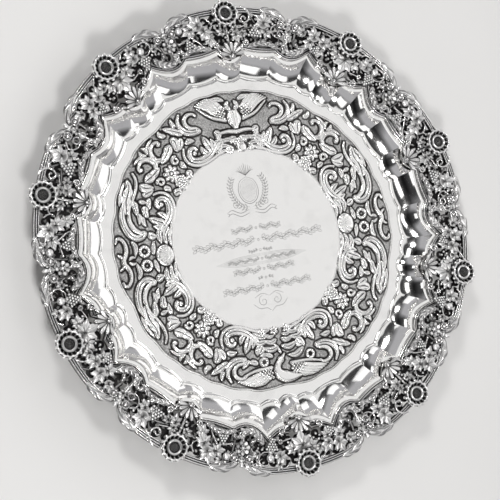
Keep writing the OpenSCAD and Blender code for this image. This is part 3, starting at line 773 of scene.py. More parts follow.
class Chasing:
    """A quarter of the chased band as a field of heights over the well, in a section's kind of frame."""

    def __init__(self, axis):
        self.axis = axis + BAND_TURN
        phi = np.linspace(-45, 45, BAND_STATIONS)
        angles = self.axis - phi - FIRST_ANGLE
        spread = np.linspace(-3, 3, 13)[:, None]
        outer = np.mean(foot_line(angles[None] + spread), 0) - BAND_SETS_BACK
        share = np.linspace(0, 1, BAND_RINGS)
        self.r = BAND_IN + (outer[:, None] - BAND_IN) * share
        self.x = self.r * np.sin(np.radians(phi))[:, None]
        self.y = self.r * np.cos(np.radians(phi))[:, None]
        self.h = np.zeros_like(self.x)
        edge = (outer[:, None] - self.r)
        self.h = np.maximum(self.h, 0.4 * np.exp(-(((edge - 1.2) / 0.6) ** 2)))

    def window(self, points, reach):
        low, high = points.min(0) - reach, points.max(0) + reach
        return np.nonzero((self.x > low[0]) & (self.x < high[0]) & (self.y > low[1]) & (self.y < high[1]))

    def raise_to(self, where, height):
        self.h[where] = np.maximum(self.h[where], height)

    def along(self, path, where):
        """For each grid point: distance from the path, signed, and how far along it, from 0 to 1."""
        px, py = self.x[where][:, None], self.y[where][:, None]
        a, b = path[:-1], path[1:]
        d = b - a
        t = ((px - a[:, 0]) * d[:, 0] + (py - a[:, 1]) * d[:, 1]) / np.maximum((d**2).sum(1), 1e-9)
        t = np.clip(t, 0, 1)
        ox, oy = px - a[:, 0] - t * d[:, 0], py - a[:, 1] - t * d[:, 1]
        gap = ox**2 + oy**2
        best = gap.argmin(1)
        rows = np.arange(len(best))
        sign = np.sign(d[best, 0] * oy[rows, best] - d[best, 1] * ox[rows, best])
        return np.sqrt(gap[rows, best]) * sign, (best + t[rows, best]) / len(a)

    def scroll(self, path, widths, height=2.2, flutes=1.0):
        """A band along a path, its width given at even steps. It has a flat crown with grooves along it."""
        path = curve_through(path, 14 * len(path)) if len(path) < 20 else np.asarray(path, float)
        where = self.window(path, max(widths) + 1)
        if not len(where[0]):
            return
        d, s = self.along(path, where)
        half = np.interp(s, np.linspace(0, 1, len(widths)), widths) * FULLNESS / 2
        q = np.clip(np.abs(d) / half, 0, 1)
        crown = 0.70 + 0.30 * np.sin(math.pi * np.clip(q * flutes, 0, 2)) ** 2 if flutes else 1
        self.raise_to(where, height * np.sqrt(1 - q**4) * crown * np.clip(half / 2, 0.6, 1) * (q < 1))

    def leaf(self, points, width, height=2.0, lobes=3):
        """A lobed leaf along a bowed line, veined down its middle and softly fluted."""
        path = curve_through(points, 24)
        where = self.window(path, width + 2)
        if not len(where[0]):
            return
        d, s = self.along(path, where)
        lobe = np.abs(np.sin(math.pi * lobes * s))
        half = (width * FULLNESS / 2 * np.sin(math.pi * np.clip(s, 0.01, 0.99) ** 0.75) ** 0.6
                * (0.78 + 0.22 * lobe))
        q = np.clip(np.abs(d) / np.maximum(half, 0.15), 0, 1)
        flute = np.cos(2 * math.pi * (lobes * s - 0.8 * q))
        level = np.sqrt(1 - q**2.8) * (0.86 + 0.14 * flute * q) - 0.42 * np.exp(-((q / 0.15) ** 2))
        ends = np.clip(np.minimum(s, 1 - s) / 0.05, 0, 1)
        self.raise_to(where, height * level * (q < 1) * ends)

    def bead(self, x, y, radius, height=None):
        centre = np.array([[x, y]])
        where = self.window(centre, radius)
        gap = np.hypot(self.x[where] - x, self.y[where] - y) / radius
        self.raise_to(where, (height or radius) * np.sqrt(np.clip(1 - gap**2, 0, 1)))

    def ring(self, x, y, outer, hole, height=1.6):
        """A ring with ribs across it, like a small rosette with an open eye."""
        where = self.window(np.array([[x, y]]), outer)
        dx, dy = self.x[where] - x, self.y[where] - y
        gap = np.hypot(dx, dy)
        middle, half = (outer + hole) / 2, (outer - hole) / 2
        level = np.sqrt(np.clip(1 - ((gap - middle) / half) ** 2, 0, 1))
        self.raise_to(where, height * level * (0.85 + 0.15 * np.cos(np.arctan2(dy, dx) * 10)))

    def flower(self, x, y, radius, petals=6, height=1.8):
        where = self.window(np.array([[x, y]]), radius)
        dx, dy = self.x[where] - x, self.y[where] - y
        gap, turn = np.hypot(dx, dy) / radius, np.arctan2(dx, dy)
        petal = np.abs(np.cos(turn * petals / 2))
        reach = 0.68 + 0.32 * petal
        q = np.clip(gap / reach, 0, 1)
        level = np.sqrt(np.clip(1 - ((q - 0.62) / 0.38) ** 2, 0, 1)) * (0.55 + 0.45 * petal)
        level = np.maximum(level, 0.95 * np.sqrt(np.clip(1 - (gap / 0.24) ** 2, 0, 1)))
        self.raise_to(where, height * level)

    def bunch(self, x, y, across, up, bead=1.9):
        """Grapes or berries packed in an oval."""
        step = bead * 1.75
        rows = int(up / step / 0.87) + 1
        for i in range(-rows, rows + 1):
            for j in range(-8, 9):
                px, py = (j + 0.5 * (i % 2)) * step, i * step * 0.87
                if (px / across) ** 2 + (py / up) ** 2 < 1:
                    self.bead(x + px, y + py, bead, 1.5 + 0.6 * (1 - (px / across) ** 2))

    def wing(self, root, tip, drop, feathers=7, height=1.9):
        """Feathers that trail from a bowed arm, with rows of small scales at the root."""
        root, tip, drop = np.array(root, float), np.array(tip, float), np.array(drop, float)
        arm = tip - root
        for k in range(feathers):
            t = k / (feathers - 1)
            start = root + arm * (0.10 + 0.30 * t) + drop * (0.75 - 0.62 * t)
            end = root + arm * (0.55 + 0.50 * t) + drop * (1.0 - 0.75 * t**1.5)
            bend = (start + end) / 2 + drop * 0.10
            self.scroll([start, bend, end], (2.8, 3.2, 1.6), height * (0.62 + 0.12 * (k % 2)), 0)
        for i in range(5):
            for j in range(5 - i // 2):
                p = root + arm * (0.02 + 0.085 * (j + 0.5 * (i % 2))) + drop * (0.10 + 0.17 * i)
                self.bead(p[0], p[1], 1.7, height * (1.0 - 0.05 * i))
        self.scroll([root, root + arm * 0.5 - drop * 0.12, tip + drop * 0.1], (3.4, 3.0, 1.4), height, 0)

    def slab(self):
        """The quarter as a closed solid with a flat back inside the sheet."""
        h = self.h + GROUND
        wide = h.copy()
        for step in (1, 2, 4):
            wide = (wide + np.roll(wide, step, 0) + np.roll(wide, -step, 0) + np.roll(wide, step, 1)
                    + np.roll(wide, -step, 1)) / 5
        # hollow is painted shade: dark at the feet of the ornaments and in their grooves, where the blurred
        # heights stand over the field
        hollow = np.clip((wide - h) / 0.42, 0, 1)
        low = np.exp(-((self.h / 0.4) ** 2))
        fleck = random.uniform(-1, 1, h.shape)
        # The low ground keeps a darker tone of its own, the tarnished punched ground, with random flecks
        shade = np.clip(0.74 * low + 1.3 * hollow + 0.2 * fleck * low, 0, 1)
        # The ground's tone and the painted shade fade out towards the disc, over the band's first 4 mm
        shade *= np.clip((self.r - BAND_IN - 1.0) / 3.0, 0, 1)
        grain = 0.07 * fleck * low
        top = np.stack([self.x, self.y, FLOOR_Z + h + grain], -1)
        back = top[:, [-1, 0]].copy()
        back[..., 2] = FLOOR_Z - SHEET_T * 0.5
        made = Shape()
        shade = np.concatenate([shade, np.full((len(shade), 2), 0.5)], 1)
        made.loops(np.concatenate([top, back], 1), shade)
        turned_shape = Shape()
        made.copy_to(turned_shape, self.axis)
        return turned_shape


def at(phi, r):
    """A place in the chased band, given as degrees clockwise from the quarter's axis, and radius."""
    a = math.radians(phi)
    return (r * math.sin(a), r * math.cos(a))


def places(*pairs):
    return [at(phi, r) for phi, r in pairs]


def places_beside(side):
    """A function that gives places clockwise of a quarter's axis, or the other way when side is -1."""
    return lambda *pairs: [at(phi * side, r) for phi, r in pairs]


def chase_common(band, side):
    """The scrollwork between a quarter's axis and the diagonal beside it, that all four quarters share."""
    p = places_beside(side)
    # The great volute: a thin outer rim, and a broad fluted band that curls in to its eye
    band.scroll(p((9, 117), (13.5, 116.6), (18, 115), (23, 114), (28, 115.6), (32.2, 121.5), (34, 130),
                  (33.2, 139), (31, 145.5)), (2.4, 3.4, 3.6, 3.4, 2.2), 2.3, 0)
    band.scroll(p((15.5, 126), (18.5, 121.6), (22.5, 119.4), (27, 120.6), (30.4, 126), (31, 133),
                  (29, 138.6), (26.6, 138.6), (25.8, 135)), (5, 8.4, 8.6, 7, 5.2, 4), 2.7)
    band.bead(*at(27.6 * side, 132.6), 3.0, 2.4)
    # The leaf that fills it: three tall fingers, then fronds that run on along the disc
    band.leaf(p((20.6, 121), (22.4, 128), (22.6, 135.5)), 6.5, 2.6, 1)
    band.leaf(p((17.6, 121), (18.4, 133), (19.2, 145)), 9.5, 2.8, 2)
    band.leaf(p((15.4, 121), (15.4, 130), (15.6, 138)), 7.5, 2.5, 1)
    band.leaf(p((17, 123), (12.2, 130.5), (6.6, 127.6)), 7.5, 2.4, 2)
    band.leaf(p((17, 119), (11, 123.6), (5.6, 120.4)), 6.5, 2.2, 2)
    band.leaf(p((16, 115.4), (10, 117.4), (4.8, 114.6)), 5.0, 1.9, 2)
    band.leaf(p((12, 144), (10.6, 139), (10.4, 133)), 8.0, 2.2, 1)
    # Leaves between the volute and the bow of the diagonal
    band.leaf(p((34.6, 161), (38.6, 156), (44, 153.4)), 10.5, 2.5, 2)
    band.leaf(p((32.4, 166), (32.2, 158), (34.2, 148)), 10.0, 2.4, 1)
    band.leaf(p((28.6, 158), (30.2, 153.6), (33, 147.6)), 7.5, 2.2, 1)
    band.leaf(p((28.6, 149), (26, 148.4), (23.6, 145)), 6.0, 1.9, 1)
    # The bow: two curled arms that meet on the diagonal
    band.scroll(p((37.8, 171.6), (38.4, 175.4), (40.6, 176.8), (42.8, 173.8), (44.3, 167.5), (44.3, 161),
                  (42.6, 156.6)),
                (2.8, 3.6, 4.6, 7.2, 4.4), 2.6, 0.8)
    band.bead(*at(38.4 * side, 171.4), 2.6, 2.6)
    band.leaf(p((44.7, 174), (43.6, 180), (44.3, 185.4)), 4.4, 2.2, 1)
    band.leaf(p((44, 175), (41.8, 180.4), (38.6, 182)), 3.8, 1.8, 2)
    # Petals and fruit leaves that flank the diagonal's flower
    band.scroll(spiral(*at(38.3 * side, 142.6), 5.0, 2.6, 90, -side * 330, 24), (3.4, 2.0), 2.2, 0)
    band.leaf(p((36.4, 137), (37.2, 131.6), (36.6, 126.4)), 6.0, 2.0, 1)
    band.leaf(p((36, 121.4), (38.6, 118), (38.4, 112.8)), 8.0, 2.3, 1)
    band.leaf(p((41.2, 116), (42.4, 113.6), (44.6, 112.8)), 4.6, 1.8, 1)


def chase_side_horn(band, side):
    """The broad C-scroll beside a side axis, with the foliage that streams from its head."""
    p = places_beside(side)
    band.scroll(p((11.6, 149), (9.9, 153), (9.6, 160), (11.2, 168), (14.4, 174.6), (18.6, 178.6),
                  (23, 178.6)),
                (6.5, 7.2, 7.4, 7.2, 6, 4), 2.8)
    band.scroll(p((11.4, 151), (12.2, 157), (13.6, 163), (16.4, 168.6), (20.4, 170.6)),
                (4.6, 5.2, 5.6, 4.4, 2.4), 2.4, 0)
    band.bead(*at(11.4 * side, 150.4), 4.2, 2.8)
    band.leaf(p((18.6, 172.4), (24, 176.4), (28.6, 176.6), (32.4, 183)), 12.5, 2.6, 4)
    band.leaf(p((21.5, 183), (26.4, 185), (31, 184.6)), 4.2, 1.9, 2)
    band.scroll(p((22.4, 170), (26.8, 168.4), (31, 169.2), (34, 173.4), (35.4, 179.4)),
                (2.2, 3.4, 3.2, 2.0), 2.0, 0)
    band.leaf(p((25, 168), (22.4, 163), (19.2, 159.4)), 7.5, 2.2, 2)
    band.leaf(p((24.4, 152), (21.6, 150), (19.2, 145.4)), 8.0, 2.3, 2)
    band.leaf(p((25.6, 161), (25.8, 156), (26, 151)), 4.6, 2.0, 1)
    band.leaf(p((20.4, 158), (18.2, 155.4), (15.6, 155.6)), 5.4, 1.9, 1)
    band.leaf(p((19.4, 152), (16.8, 150.6), (15, 146.6)), 4.6, 1.7, 1)


def chase_end_horn(band, side):
    """The C-scroll beside the top or bottom axis: it opens towards the axis, with a second curl inside."""
    p = places_beside(side)
    band.scroll(p((19.2, 152.4), (22.6, 154.6), (25.2, 160.6), (26.2, 169), (25.4, 177), (23.6, 182.4)),
                (5.4, 6.6, 7.2, 6.6, 4, 2.2), 2.8)
    band.scroll(p((19.8, 157.4), (22.2, 161), (23.3, 167.4), (22.6, 173.8), (20.4, 176.6), (18.2, 175),
                  (17.4, 171.4)),
                (3.4, 4.4, 4.4, 3.6, 2.4), 2.4, 0)
    band.bead(*at(19.6 * side, 153.6), 4.0, 2.7)
    band.leaf(p((26.6, 160), (29.4, 170), (32.4, 181)), 8.5, 2.3, 3)
    band.leaf(p((27.4, 172), (28, 178), (27.4, 184)), 5.0, 2.0, 2)
    band.leaf(p((33.4, 172), (35, 177), (34.6, 183)), 5.6, 1.9, 2)


def chase_diagonals(band):
    for side in (-1, 1):
        x, y = at(45 * side, 137)
        band.flower(x, y, 10.8, 8, 2.7)
        band.bunch(*at(45 * side, 121.5), 10, 7.4, 2.0)


def chase_side(band):
    """What stands on the two side axes: a fan-veined oval, rings, curled leaves and a bowed cartouche."""
    x, y = at(0, 125)
    where = band.window(np.array([[x, y]]), 14)
    dx, dy = band.x[where] - x, band.y[where] - (y - 7)
    q = np.clip(np.hypot(dx / 12.8, (band.y[where] - y) / 11), 0, 1)
    fan = 0.9 + 0.1 * np.cos(np.arctan2(dx, dy) * 14)
    band.raise_to(where, 2.1 * np.sqrt(1 - q**4) * fan)
    for side in (-1, 1):
        p = places_beside(side)
        chase_side_horn(band, side)
        band.ring(*at(3.3 * side, 150.4), 7.4, 3.6, 2.4)
        band.leaf(p((8.2, 165.6), (5.4, 161), (1.2, 163)), 5.4, 2.1, 1)
        band.leaf(p((0.5, 171.5), (1.4, 167), (1.0, 162.5)), 3.0, 1.7, 1)
        band.leaf(p((1.2, 139.6), (4.6, 138.6), (8.2, 137.6)), 5.0, 1.9, 1)
        bow = p((7.6, 185.4), (8.9, 184.2), (9.1, 179.6), (7.4, 174.8), (4.6, 173),
                     (2.4, 175), (1.1, 177.6), (0, 178.4))
        band.scroll(bow, (2.4, 3.2, 3.8, 4.4, 5.2), 2.6, 0)
        band.scroll(p((0.8, 178.4), (2.2, 180.6), (2.8, 184)), (3.0, 1.8), 2.0, 0)


def chase_top(band):
    """A bell-shaped vase on a ledge of fruit, between two feathered wings."""
    where = band.window(np.array([at(0, 151)]), 16)
    dx, r = band.x[where], band.y[where]
    t = np.clip((r - 141) / 22, 0, 1)
    half = 2.6 + 9.5 * np.sin(math.pi * (0.12 + 0.62 * t)) ** 3 * (1 - 0.45 * t) + 1.6 * t**4
    q = np.clip(np.abs(dx) / half, 0, 1)
    body = 3.0 * np.sqrt(1 - q**2.6) * (0.93 + 0.07 * np.cos(dx * 1.7))
    band.raise_to(where, body * ((r > 141) & (r < 163) & (q < 1)))
    band.scroll(places((-1.6, 163.4), (1.6, 163.4)), (2.6, 2.6), 2.6, 0)
    for side in (-1, 1):
        p = places_beside(side)
        chase_end_horn(band, side)
        band.scroll(p((0, 137), (5, 139), (9.6, 139), (12, 135.6), (10.8, 133.6)),
                    (4.6, 4.0, 3.0, 2.2), 2.6, 0)
        band.wing(at(4.6 * side, 153), at(15.6 * side, 176), (-2.6 * side, 20), 8, 2.4)
        band.leaf(p((1, 165), (2.4, 171), (1.2, 177)), 5.4, 2.0, 2)
        band.leaf(p((1, 130.6), (5, 129), (9, 131.4)), 6.0, 2.2, 2)
        band.leaf(p((9.4, 131), (12.4, 124), (15.4, 113.6)), 7.0, 2.3, 3)
        band.leaf(p((3, 178), (6.4, 182), (10.6, 181.4)), 5.4, 1.8, 2)
        band.leaf(p((6.8, 121), (8, 116), (6.4, 112.6)), 6.5, 2.2, 1)
    band.ring(*at(-6.6, 116.6), 5.4, 1.8, 2.2)
    band.bead(*at(1.2, 117), 6.6, 2.6)
    band.bunch(*at(0, 125), 12.5, 3.4, 1.9)


def chase_bottom(band):
    """A long-necked bird with open wings over leafy branches."""
    band.scroll(places((-6.4, 178), (-2, 176.4), (1.6, 172.6), (3.2, 166.4), (2.9, 160), (1.4, 154.4),
                       (-1.4, 146.4)),
                (3, 9, 13, 11, 7, 5, 1.6), 3.0, 0)
    band.bead(*at(0.9, 153), 4.2, 3.0)
    band.wing(at(-4.0, 160), at(-19.5, 175), (1.6, 16), 9, 2.4)
    band.wing(at(6.0, 161), at(20.5, 176), (-1.0, 16), 9, 2.4)
    band.ring(*at(-14.2, 158.4), 6.2, 2.8, 2.3)
    band.ring(*at(9.4, 154), 6.2, 2.6, 2.3)
    band.leaf(places((-12.4, 146.4), (-7.6, 151.6), (-3, 149.4)), 6.6, 2.2, 1)
    band.leaf(places((4.6, 148), (8.2, 145), (11.6, 146.6)), 5.6, 2.0, 2)
    band.leaf(places((12.4, 156.6), (14.8, 154.4), (17, 156)), 6.0, 2.0, 1)
    band.leaf(places((16.8, 152.6), (18.4, 158), (19.6, 164)), 5.6, 2.0, 1)
    for side in (-1, 1):
        p = places_beside(side)
        chase_end_horn(band, side)
        band.leaf(p((0.8, 136), (5, 139.4), (10.4, 136.6)), 6.6, 2.4, 1)
        band.leaf(p((1.4, 127), (4.8, 130.4), (9, 127.4)), 6.0, 2.2, 2)
        band.leaf(p((10.6, 133), (12.6, 139), (12.8, 146.4)), 6.6, 2.1, 2)
        band.leaf(p((2.6, 122), (5.6, 123.6), (8.4, 122)), 4.0, 1.8, 1)
    band.scroll(places((0.4, 144), (1.6, 137), (4.2, 131)), (2.6, 2.0), 2.2, 0)
    for phi, r in ((-6.6, 116.8), (2.2, 116), (10.4, 117.6)):
        band.flower(*at(phi, r), 6.0, 6, 2.4)


# ---- The engraving ----


def engraved_line(shape, points, width=0.5, count=None, close=False):
    """A thin dark line let into the disc."""
    path = curve_through(points, count or 10 * len(points))
    half = width / 2 * np.sin(np.linspace(0.12, math.pi - 0.12, len(path))) ** 0.5
    top = np.full((len(path), 3), FLOOR_Z + 0.05)
    shape.ribbon(path, np.maximum(half, 0.05), top, FLOOR_Z - 0.2, 1.0)


def running_scroll(shape, y, half_length, height, waves):
    """A level garland: a wavy stem with paired leaves, mirrored about the middle."""
    for side in (-1, 1):
        reach = np.linspace(2, half_length, 8 * waves)
        stem = np.stack([side * reach, y + height * 0.22 * np.sin(reach / half_length * math.pi * waves)],
                        1)
        engraved_line(shape, stem, 0.4, 10 * waves)
        for k in range(3, 8 * waves, 4):
            x, level = stem[k]
            for up in (-1, 1):
                tip = (x + side * height * 0.55, level + up * height * 0.45)
                engraved_line(shape,
                              [(x, level), (x + side * height * 0.12, level + up * height * 0.34), tip],
                              0.6, 10)
                engraved_line(shape,
                              [(x, level), (x + side * height * 0.42, level + up * height * 0.14), tip],
                              0.6, 10)
    for up in (-1, 1):
        engraved_line(shape, [(-1.6, y), (0, y + up * 1.3), (1.6, y)], 0.7, 8)


def engraving():
    """Plain ornament in the middle of the disc: a blank oval between sprays, and rows of scrolls."""
    made = Shape()
    cx, cy = 0, 62
    for rx, ry, w in ((13.5, 17, 0.9), (11.2, 14.6, 0.5)):
        turn = np.linspace(0, 2 * math.pi, 9)
        engraved_line(made, np.stack([cx + rx * np.sin(turn), cy + ry * np.cos(turn)], 1), w, 70)
    for k in range(-6, 7):
        half = 14 * math.sqrt(max(0.0, 1 - (k / 7) ** 2))
        engraved_line(made, [(cx + k * 1.5, cy - half), (cx + k * 1.5, cy + half)], 0.28, 6)
    for side in (-1, 1):
        stem = [(side * 2, cy - 21), (side * 13, cy - 19), (side * 21, cy - 8), (side * 24, cy + 6),
                (side * 19, cy + 19)]
        engraved_line(made, stem, 0.8, 50)
        line = curve_through(stem, 15)
        for k, (x, y) in enumerate(line[1:-1]):
            for hand in (-1, 1):
                along = line[k + 2] - line[k]
                along = along / np.linalg.norm(along)
                out = np.array([-along[1], along[0]]) * hand
                tip = np.array([x, y]) + along * 3.4 + out * 4.2
                for bow in (0.5, 2.0):
                    bend = np.array([x, y]) + along * bow + out * 2.6
                    engraved_line(made, [(x, y), bend, tip], 0.55, 10)
        curl = spiral(side * 20, cy - 17, 5, 1.2, 90, -side * 430, 34)
        engraved_line(made, curl[::3], 0.7, 34)
        ribbon = [(side * 4, cy - 24), (side * 16, cy - 27), (side * 27, cy - 22), (side * 34, cy - 25)]
        engraved_line(made, ribbon, 0.9, 30)
        engraved_line(made, np.array(ribbon) - [0, 4.2], 0.9, 30)
        engraved_line(made, [ribbon[-1], (side * 31, cy - 27), (side * 34, cy - 29.2)], 0.7, 10)
        for k in range(5):
            a = math.radians(side * (12 + 15 * k))
            tip = (math.sin(a) * 13, cy + 22 + math.cos(a) * 11)
            engraved_line(made, [(0, cy + 19), (tip[0] * 0.6, cy + 24), tip], 0.7, 12)
    engraved_line(made, [(0, cy + 18), (0, cy + 26), (0, cy + 35)], 0.8, 12)
    for y, half, height, waves in ((14, 30, 7, 4), (-1, 84, 9, 9), (-14, 14, 4, 2), (-38, 38, 7, 5),
                                   (-49, 8, 4, 1), (-60, 56, 8, 7)):
        running_scroll(made, y, half, height, waves)
    # A long lozenge of fine lines round the middle row
    for k in range(3):
        for side in (-1, 1):
            for up in (-1, 1):
                reach = 62 - 5 * k
                engraved_line(made, [(side * reach, -25), (side * reach * 0.55, -25 + up * (5.4 - 1.3 * k)),
                                     (0, -25 + up * (6.6 - 1.3 * k))], 0.35, 24)
    running_scroll(made, -25, 44, 4.6, 7)
    for side in (-1, 1):
        engraved_line(made, spiral(side * 9, -78, 8, 1.6, 90, -side * 500, 40)[::3], 0.7, 44)
        engraved_line(made, [(0, -92), (side * 6, -87), (side * 16, -86), (side * 24, -79)], 0.7, 30)
        engraved_line(made, [(0, -72), (side * 10, -68), (side * 20, -72)], 0.6, 22)
    return made


# ---- The feet ----


def foot_shapes(number):
    """A scroll foot on a lobed pad, and the leaf that spreads from it under the plate."""
    top = box_mm(f"foot_{number:02d}")[1][2]
    leaf_low, leaf_high = box_mm(f"foot_leaf_{number:02d}")
    centre = (leaf_low + leaf_high) / 2
    direction = math.degrees(math.atan2(centre[1], centre[0]))
    leaf_r = math.hypot(*centre[:2])
    toe_r = leaf_r + 12
    width = 13
    foot, leaf = Shape(), Shape()
    # The scroll's side: a curled toe, an outward knee, and a back that sweeps in under the plate
    side = curve_through([(1.5, 8.2), (-1.6, 9.2), (-3.6, 6.6), (-1.6, 3.6), (2.6, 3.4), (5.4, 7.5),
                          (4.6, 13), (0, 17.6), (-7, 19.4), (-15, 19.8), (-22, 19.9)], 70)
    along = unit(np.gradient(side, axis=0))
    normal = np.stack([along[:, 1], -along[:, 0]], 1)
    across = np.linspace(-1, 1, 19)
    reed = 0.25 * np.abs(np.sin(across * math.pi * 1.5))
    share = np.linspace(0, 1, 70)
    half = width / 2 * np.interp(share, [0, 0.3, 0.55, 0.8, 1], [0.7, 0.85, 0.9, 1.15, 1.5])
    thick = np.interp(share, [0, 0.3, 0.6, 1], [1.2, 1.7, 2.1, 1.6])
    rows = []
    for k in range(70):
        front = [(across[j] * half[k],
                  *(side[k] + normal[k] * thick[k] * (1 + reed[j]))) for j in range(19)]
        rear = [(across[j] * half[k], *(side[k] - normal[k] * thick[k] * 0.9)) for j in (18, 12, 6, 0)]
        rows.append([(x, toe_r + u, min(z, top)) for x, u, z in front + rear])
    foot.loops(rows, 0.1)
    pad = np.array([7.2 + 0.8 * abs(math.cos(4.5 * a))
                    for a in np.linspace(0, 2 * math.pi, 72, endpoint=False)])
    turn = np.linspace(0, 2 * math.pi, 72, endpoint=False)
    rows = [np.stack([pad * s * np.sin(turn), toe_r + pad * s * np.cos(turn), np.full(72, z)], 1)
            for s, z in ((0.9, 0), (1.0, 0.6), (1.0, 1.8), (0.86, 2.9), (0.5, 3.6), (0.1, 4.0))]
    foot.loops(rows, 0.15)
    for k in range(-2, 3):
        lean = math.radians(k * 26)
        path = np.array([(math.sin(lean) * s * 9, toe_r - 4 + math.cos(lean) * s * 9)
                         for s in (0.3, 0.7, 1.0)])
        acanthus(foot, path, 2.3, 2.6, 3.4, 2)
    for k in range(7):
        lean = math.radians(180 + (k - 3) * 30)
        reach = leaf_high[0] - leaf_low[0]
        length = reach * (0.47 - 0.012 * abs(k - 3))
        line = [(math.sin(lean) * length * s, leaf_r + math.cos(lean) * length * s)
                for s in (0.05, 0.5, 1.0)]
        made = Shape()
        acanthus(made, line, 6.4, 0, 1.9, 5)
        # The leaf's face looks down, with its flat back against the plate
        for points, shades in zip(made.points, made.shades):
            points[:, 2] = leaf_high[2] - points[:, 2]
        leaf.points += made.points
        leaf.shades += made.shades
        leaf.faces += [f[:, ::-1] + leaf.count for f in made.faces]
        leaf.count += made.count
    leaf.ball(0, leaf_r, leaf_high[2] - 1, 5, 5, 1.0)
    placed = []
    for shape in (foot, leaf):
        out = Shape()
        shape.copy_to(out, direction)
        placed.append(out)
    return placed


# ---- Materials ----


def add_node(tree, kind, inputs=(), **settings):
    """A shader node. inputs gives each socket by name or number, as a value or as the socket it is fed by."""
    node = tree.nodes.new("ShaderNode" + kind)
    for key, value in settings.items():
        setattr(node, key, value)
    for key, value in dict(inputs).items():
        if isinstance(value, bpy.types.NodeSocket):
            tree.links.new(value, node.inputs[key])
        else:
            node.inputs[key].default_value = value
    return node


def sums(tree, operation, *values, clamp=False):
    """The result of a Math node."""
    return add_node(tree, "Math", enumerate(values), operation=operation, use_clamp=clamp).outputs[0]


def noise(tree, place, scale, detail):
    inputs = {"Vector": place, "Scale": scale, "Detail": detail}
    return add_node(tree, "TexNoise", inputs).outputs["Fac"]


def ramp(tree, value, *stops):
    """A colour ramp through (position, colour) stops, the first and last of which are its ends."""
    node = add_node(tree, "ValToRGB", {"Fac": value})
    elements = node.color_ramp.elements
    for element, (position, colour) in zip((elements[0], elements[1]), (stops[0], stops[-1])):
        element.position = position
        element.color = (*colour, 1)
    for position, colour in stops[1:-1]:
        elements.new(position).color = (*colour, 1)
    return node.outputs["Color"]


def new_material(name):
    material = bpy.data.materials.new(name)
    material.use_nodes = True
    return material, material.node_tree, material.node_tree.nodes["Principled BSDF"]


def silver(name, bright, dark, smooth, rough, grain, grain_size, stipple=0.0, frost=0.0, hollow=0.0,
           reach=7.0):
    """Silver whose colour is darker and duller where its shade is high: tarnish in recesses, and painted
    shade. grain is a fine bump, and stipple a punched ground. frost is the share of light that a matted skin
    scatters. hollow is how dark the painted shade in corners gets, and reach how wide."""
    material, tree, shader = new_material(name)
    shader.inputs["Metallic"].default_value = 1.0 - frost
    place = add_node(tree, "TexCoord").outputs["Object"]
    shade = add_node(tree, "Attribute", attribute_name="shade").outputs["Fac"]
    # The shade attribute darkens the colour, a little unevenly: tarnish in the recesses, and painted shade
    uneven = sums(tree, "MULTIPLY_ADD", noise(tree, place, 45, 5), 0.24, -0.12)
    depth = sums(tree, "ADD", shade, uneven, clamp=True)
    if hollow:
        # Painted shade: an ambient occlusion node darkens the colour in corners, where shade falls, standing
        # also for tarnish there
        corner = add_node(tree, "AmbientOcclusion", {"Distance": reach * MM}, samples=6).outputs["AO"]
        limits = {"Value": corner, "From Min": 0.80, "From Max": 0.25, "To Max": hollow}
        painted_corner_shade = add_node(tree, "MapRange", limits).outputs["Result"]
        depth = sums(tree, "ADD", depth, painted_corner_shade, clamp=True)
    dull = add_node(tree, "MapRange", {"Value": depth, "To Min": smooth, "To Max": rough}).outputs["Result"]
    wear = sums(tree, "MULTIPLY_ADD", noise(tree, place, 300, 4), 0.08, dull)
    tree.links.new(wear, shader.inputs["Roughness"])
    fine = noise(tree, place, 1 / (grain_size * MM), 3)
    surface = {"Strength": 1.0, "Distance": grain * MM, "Height": fine}
    normal = add_node(tree, "Bump", surface).outputs["Normal"]
    tint = depth
    if stipple:
        punch = add_node(tree, "TexVoronoi", {"Vector": place, "Scale": 1 / (1.1 * MM)})
        # Neither the bright crowns nor the deep lines are punched, only the ground between
        ground = sums(tree, "MULTIPLY", depth, sums(tree, "SUBTRACT", 1.0, depth))
        dots = sums(tree, "MULTIPLY", punch.outputs["Distance"], ground)
        surface = {"Strength": 1.0, "Distance": stipple * MM, "Height": dots, "Normal": normal}
        normal = add_node(tree, "Bump", surface).outputs["Normal"]
        tint = sums(tree, "MULTIPLY_ADD", dots, -2.6, depth, clamp=True)
    middle = [0.45 * b + 0.55 * d for b, d in zip(bright, dark)]
    tree.links.new(ramp(tree, tint, (0, bright), (0.45, middle), (1, dark)), shader.inputs["Base Color"])
    tree.links.new(normal, shader.inputs["Normal"])
    return material


def floor_material():
    material, tree, shader = new_material("pale_floor")
    shader.inputs["Roughness"].default_value = 0.85
    place = add_node(tree, "TexCoord").outputs["Object"]
    cloud = noise(tree, place, 3, 2)
    tone = ramp(tree, cloud, (0, (0.76, 0.75, 0.735)), (1, (0.82, 0.81, 0.795)))
    tree.links.new(tone, shader.inputs["Base Color"])
    return material


# ---- Building the pieces ----


def node_name(base, i):
    return f"{base}_{i + 1:02d}"


